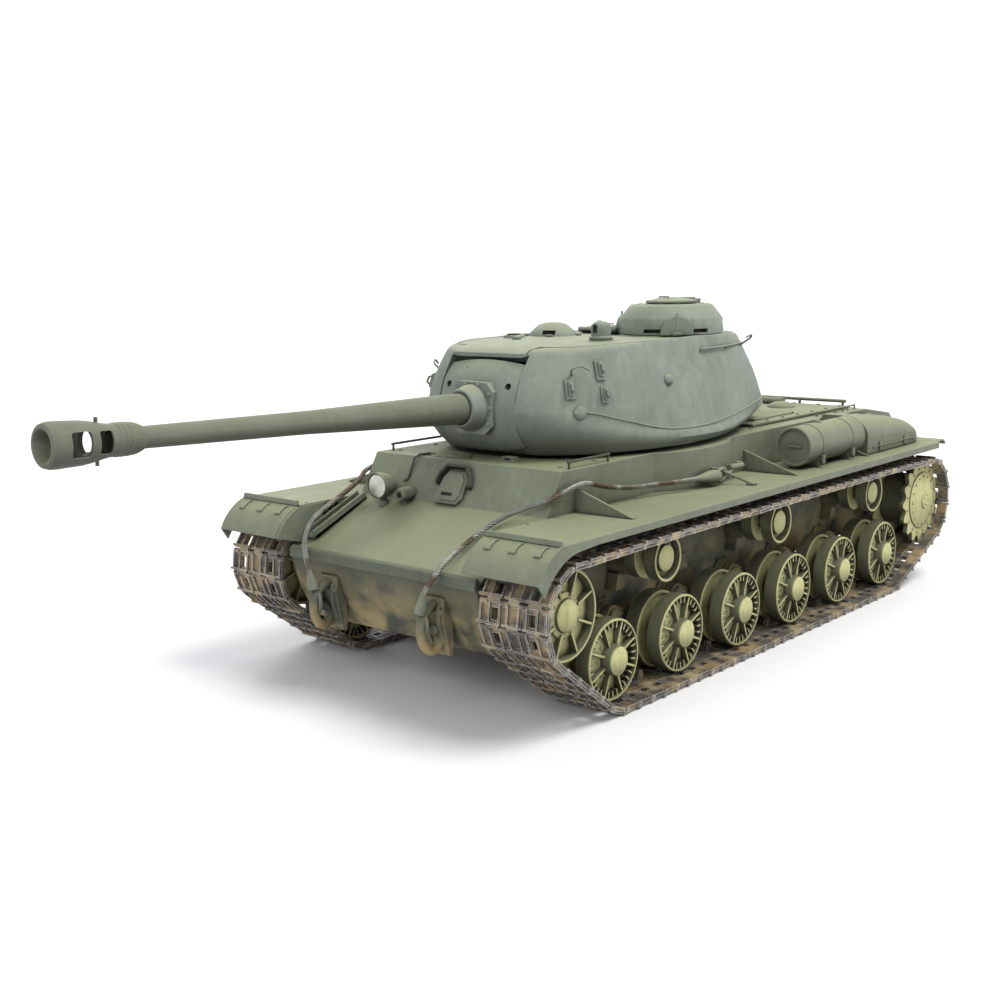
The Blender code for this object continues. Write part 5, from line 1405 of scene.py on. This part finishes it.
def periscope():
    x, y = PERISCOPE_AT
    top = SEAT_Z + 0.35
    head = solid()
    turned(head, [(0.0, top + 9.0), (2.2, top + 8.9), (3.6, top + 8.4), (4.7, top + 7.2), (5.0, top + 6.0), (5.0, top + 1.9),
                  (5.2, top + 1.6), (6.0, top + 1.3), (6.1, top + 0.2), (5.9, top), (3.0, top), (3.0, 150.0), (0.0, 150.0)],
           "z", (x, y, 0.0), 36)
    piece("periscope_head", head, CAST, "periscope", ["gunner_periscope"], bevel=0.15)
    eye = prism(solid(), [(x - 1.1, top + 3.6), (x + 1.1, top + 3.6), (x + 1.1, top + 7.0), (x, top + 7.8),
                          (x - 1.1, top + 7.0)], "y", y - 5.25, y - 4.2)
    piece("periscope_eye", eye, HOLE, "periscope", bevel=0)


# ---------------------------------------------------------------- gun, in the trunnion's tilted frame

def gun():
    low, high = 180.0 + 43.8, 180.0 - 49.7
    back = arc((0.0, 0.0), SHIELD_BACK, high, low, 30)
    rings = []
    for k in range(25):
        x = SHIELD_HALF * (k / 12 - 1)
        radius = SHIELD_RADIUS - 3.0 * (x / SHIELD_HALF) ** 2
        rings.append([(x, y, z) for y, z in arc((0.0, 0.0), radius, low, high, 30) + back])
    shield = solid()
    loft(shield, rings)
    cover = piece("mantlet_shield", shield, CAST, "gun", ["mantlet"], bevel=0, matrix=GUN_FRAME)
    bore = rod(solid(), "y", (0.0, 0.0), 7.75, -46.0, 26.0, steps=48)
    for x in (-18.9, 18.9):
        rod(bore, "y", (x, 10.6), 1.7, -46.0, -20.0, steps=24)
    for x in (-10.4, 12.6):
        prism(bore, [(x - 1.5, 19.6), (x + 1.3, 19.4), (x + 0.3, 18.2)], "y", -40.0, -22.4)
    carve(cover, bore, matrix=GUN_FRAME)
    add_bevel(cover, 0.35)
    cradle = solid()
    for low, high in ((-12.0, -7.9), (7.9, 12.0)):
        box(cradle, (low, -26.6, -9.2), (high, 20.0, 9.2))
    for low, high in ((-9.2, -7.9), (7.9, 9.2)):
        box(cradle, (-12.0, -26.6, low), (12.0, 20.0, high))
    for _, side in SIDES:
        rod(cradle, "x", (0.0, 0.0), 4.0, *span(side, 11.0, 31.5), steps=28)
    piece("gun_cradle", cradle, DARK_PAINT, "gun", bevel=0.3, matrix=GUN_FRAME)
    sleeve = solid()
    turned(sleeve, [(7.75, -39.6), (8.9, -39.6), (9.4, -39.0), (10.2, -35.0), (10.8, -33.4), (11.2, -32.4), (11.4, -27.0),
                    (7.75, -27.0)], "y", steps=56)
    plate = [(-11.6, -9.6), (-8.0, -12.6), (8.6, -12.6), (13.0, -8.4), (13.4, 8.0), (9.6, 12.4), (-8.4, 12.8),
             (-11.8, 9.6)]
    ring = solid()
    prism(ring, plate, "y", -30.8, -26.0)
    merge(sleeve, ring)
    for x, z in ((11.4, 7.0), (11.8, 0.4), (11.0, -7.4), (-10.0, 8.4), (-10.4, -7.6), (4.0, 11.0), (-4.0, 11.0)):
        bolt(sleeve, (x, -30.7, z), "y", 1.15, -1.1, 10)
    piece("gun_sleeve", sleeve, CAST, "gun", bevel=0.3, matrix=GUN_FRAME)
    tube_profile = [(0.0, 38.0), (9.2, 38.0), (9.5, 37.6), (9.5, 20.7), (9.2, 20.4), (7.4, 20.4), (7.4, -42.0),
                    (7.3, -52.0), (6.6, -76.0), (5.0, -136.0), (4.3, -218.0), (4.2, -224.0), (2.9, -224.0),
                    (2.8, -222.0), (2.8, -176.0), (0.0, -176.0)]
    barrel = turned(solid(), tube_profile, "y", steps=56)
    piece("gun_tube", barrel, GUN_PAINT, "barrel", ["gun_barrel"], bevel=0, matrix=GUN_FRAME)
    muzzle_brake()


def muzzle_brake():
    """A two-chamber brake: a thick front ring, side windows right through and a stepped collar."""
    profile = [(4.45, -217.0), (5.0, -216.6), (6.0, -219.2), (6.3, -221.0), (6.3, -230.6), (6.5, -232.0), (7.8, -238.6),
               (8.3, -242.0), (8.7, -252.0), (8.6, -254.6), (8.0, -256.4), (7.0, -257.0), (6.2, -256.8), (5.0, -255.0),
               (4.8, -249.0), (6.6, -248.0), (6.6, -240.6), (4.8, -240.0), (4.8, -237.8), (5.4, -237.0), (5.4, -229.6),
               (4.45, -229.0)]
    brake = piece("muzzle_brake_body", turned(solid(), profile, "y", steps=72), GUN_PAINT, "barrel",
                  ["muzzle_brake"], bevel=0, matrix=GUN_FRAME)
    windows = solid()
    for front, rear, half, corner in ((-249.6, -241.0, 4.7, 1.6), (-237.6, -231.4, 4.3, 1.2)):
        outline = []
        for y, z, start in ((rear - corner, half - corner, 0), (front + corner, half - corner, 90),
                            (front + corner, corner - half, 180), (rear - corner, corner - half, 270)):
            outline += arc((y, z), corner, start, start + 90, 5)
        prism(windows, outline, "x", -12.0, 12.0)
    carve(brake, windows, matrix=GUN_FRAME)
    add_bevel(brake, 0.25)
    pins = solid()
    rod(pins, "z", (0.0, -235.0), 0.75, 6.4, 9.0, steps=12)
    rod(pins, "z", (0.0, -235.0), 0.75, -9.0, -6.4, steps=12)
    for k in range(3):
        turned(pins, [(6.2, -222.6 - 2.2 * k), (6.5, -222.9 - 2.2 * k), (6.5, -223.5 - 2.2 * k), (6.2, -223.8 - 2.2 * k)],
               "y", steps=48)
    piece("brake_pins", pins, GUN_PAINT, "barrel", bevel=0, matrix=GUN_FRAME)


# ---------------------------------------------------------------- inside, carried over from the CAD

def inside():
    finishes = {"drive_unit_left": MOTOR, "drive_unit_right": MOTOR, "traverse_motor": MOTOR, "turret_ring": MOTOR,
                "battery": SLEEVE, "control_board": BOARD}
    for node, material in finishes.items():
        item = frame["nodes"][node]
        item.data.materials.clear()
        item.data.materials.append(material)
        add_bevel(item, 0.25)


# ---------------------------------------------------------------- light, floor and camera

CAMERA_AT = (421.43, -590.83, 195.37)
CAMERA_YAW = math.radians(40.934)
CAMERA_PITCH = math.radians(10.083)
CAMERA_ROLL = math.radians(-1.026)
FOCAL_LENGTH = 47.12


def camera():
    a, e = CAMERA_YAW, CAMERA_PITCH
    back = Vector((math.sin(a) * math.cos(e), -math.cos(a) * math.cos(e), math.sin(e)))
    right = Vector((math.cos(a), math.sin(a), 0.0))
    up = back.cross(right)
    rolled_right = right * math.cos(CAMERA_ROLL) + up * math.sin(CAMERA_ROLL)
    rolled_up = up * math.cos(CAMERA_ROLL) - right * math.sin(CAMERA_ROLL)
    data = bpy.data.cameras.new("camera")
    data.lens = FOCAL_LENGTH
    data.sensor_width = 36.0
    data.clip_start = 0.01
    item = bpy.data.objects.new("camera", data)
    matrix = Matrix((rolled_right, rolled_up, back)).transposed().to_4x4()
    matrix.translation = (SHIFT @ Vector(CAMERA_AT)) * MM
    item.matrix_world = matrix
    bpy.context.scene.collection.objects.link(item)
    bpy.context.scene.camera = item


def floor():
    """A pale sweep: flat under the tank and curving up far behind and all round."""
    material = bpy.data.materials.new("floor")
    material.use_nodes = True
    shader = material.node_tree.nodes["Principled BSDF"]
    shader.inputs["Base Color"].default_value = (0.86, 0.86, 0.88, 1.0)
    shader.inputs["Roughness"].default_value = 0.9
    bm = bmesh.new()
    curve = [math.pi / 2 * k / 12 for k in range(1, 13)]
    profile = [(0.3, 0.0), (1.0, 0.0), (2.4, 0.0)]
    profile += [(2.4 + 1.6 * math.sin(a), 1.6 * (1 - math.cos(a))) for a in curve] + [(4.0, 4.0)]
    rings = []
    for radius, height in profile:
        rings.append([bm.verts.new((radius * math.cos(a), radius * math.sin(a), height))
                      for a in (math.tau * k / 96 for k in range(96))])
    bm.faces.new(rings[0])
    for lower, upper in zip(rings, rings[1:]):
        for k in range(96):
            n = (k + 1) % 96
            bm.faces.new((lower[k], upper[k], upper[n], lower[n]))
    mesh = bpy.data.meshes.new("floor")
    bm.to_mesh(mesh)
    bm.free()
    mesh.shade_smooth()
    mesh.materials.append(material)
    item = bpy.data.objects.new("floor", mesh)
    bpy.context.scene.collection.objects.link(item)


def area_light(name, place, aim, size, power, colour=(1.0, 1.0, 1.0)):
    data = bpy.data.lights.new(name, "AREA")
    data.shape = "RECTANGLE"
    data.size, data.size_y = size
    data.energy = power
    data.color = colour
    item = bpy.data.objects.new(name, data)
    item.location = place
    item.rotation_euler = (Vector(aim) - Vector(place)).to_track_quat("-Z", "Y").to_euler()
    bpy.context.scene.collection.objects.link(item)


def lights():
    world = bpy.data.worlds.new("studio")
    world.use_nodes = True
    world.node_tree.nodes["Background"].inputs["Color"].default_value = (1.0, 1.0, 1.0, 1.0)
    world.node_tree.nodes["Background"].inputs["Strength"].default_value = 0.36
    bpy.context.scene.world = world
    area_light("key", (0.9, 0.5, 1.8), (0.0, 0.0, 0.06), (1.1, 1.1), 33.0, (1.0, 0.99, 0.96))
    area_light("front_fill", (0.3, -1.9, 1.4), (0.0, 0.0, 0.10), (1.4, 1.0), 15.0, (0.95, 0.98, 1.0))
    area_light("far_rim", (-1.5, 0.9, 1.2), (0.0, 0.0, 0.1), (1.0, 0.8), 9.0)
    area_light("backdrop", (-0.9, 1.1, 2.8), (-2.5, 2.9, 0.9), (2.4, 1.2), 70.0)
    bpy.context.scene.view_settings.view_transform = "Standard"


lower_hull()
upper_hull()
glacis_strip()
fender()
lamp_and_horn()
engine_deck()
drums()
bins()
cables()
road_wheels()
rollers()
idlers()
sprockets()
arms()
tracks()
turret()
gun()
inside()
camera()
floor()
lights()
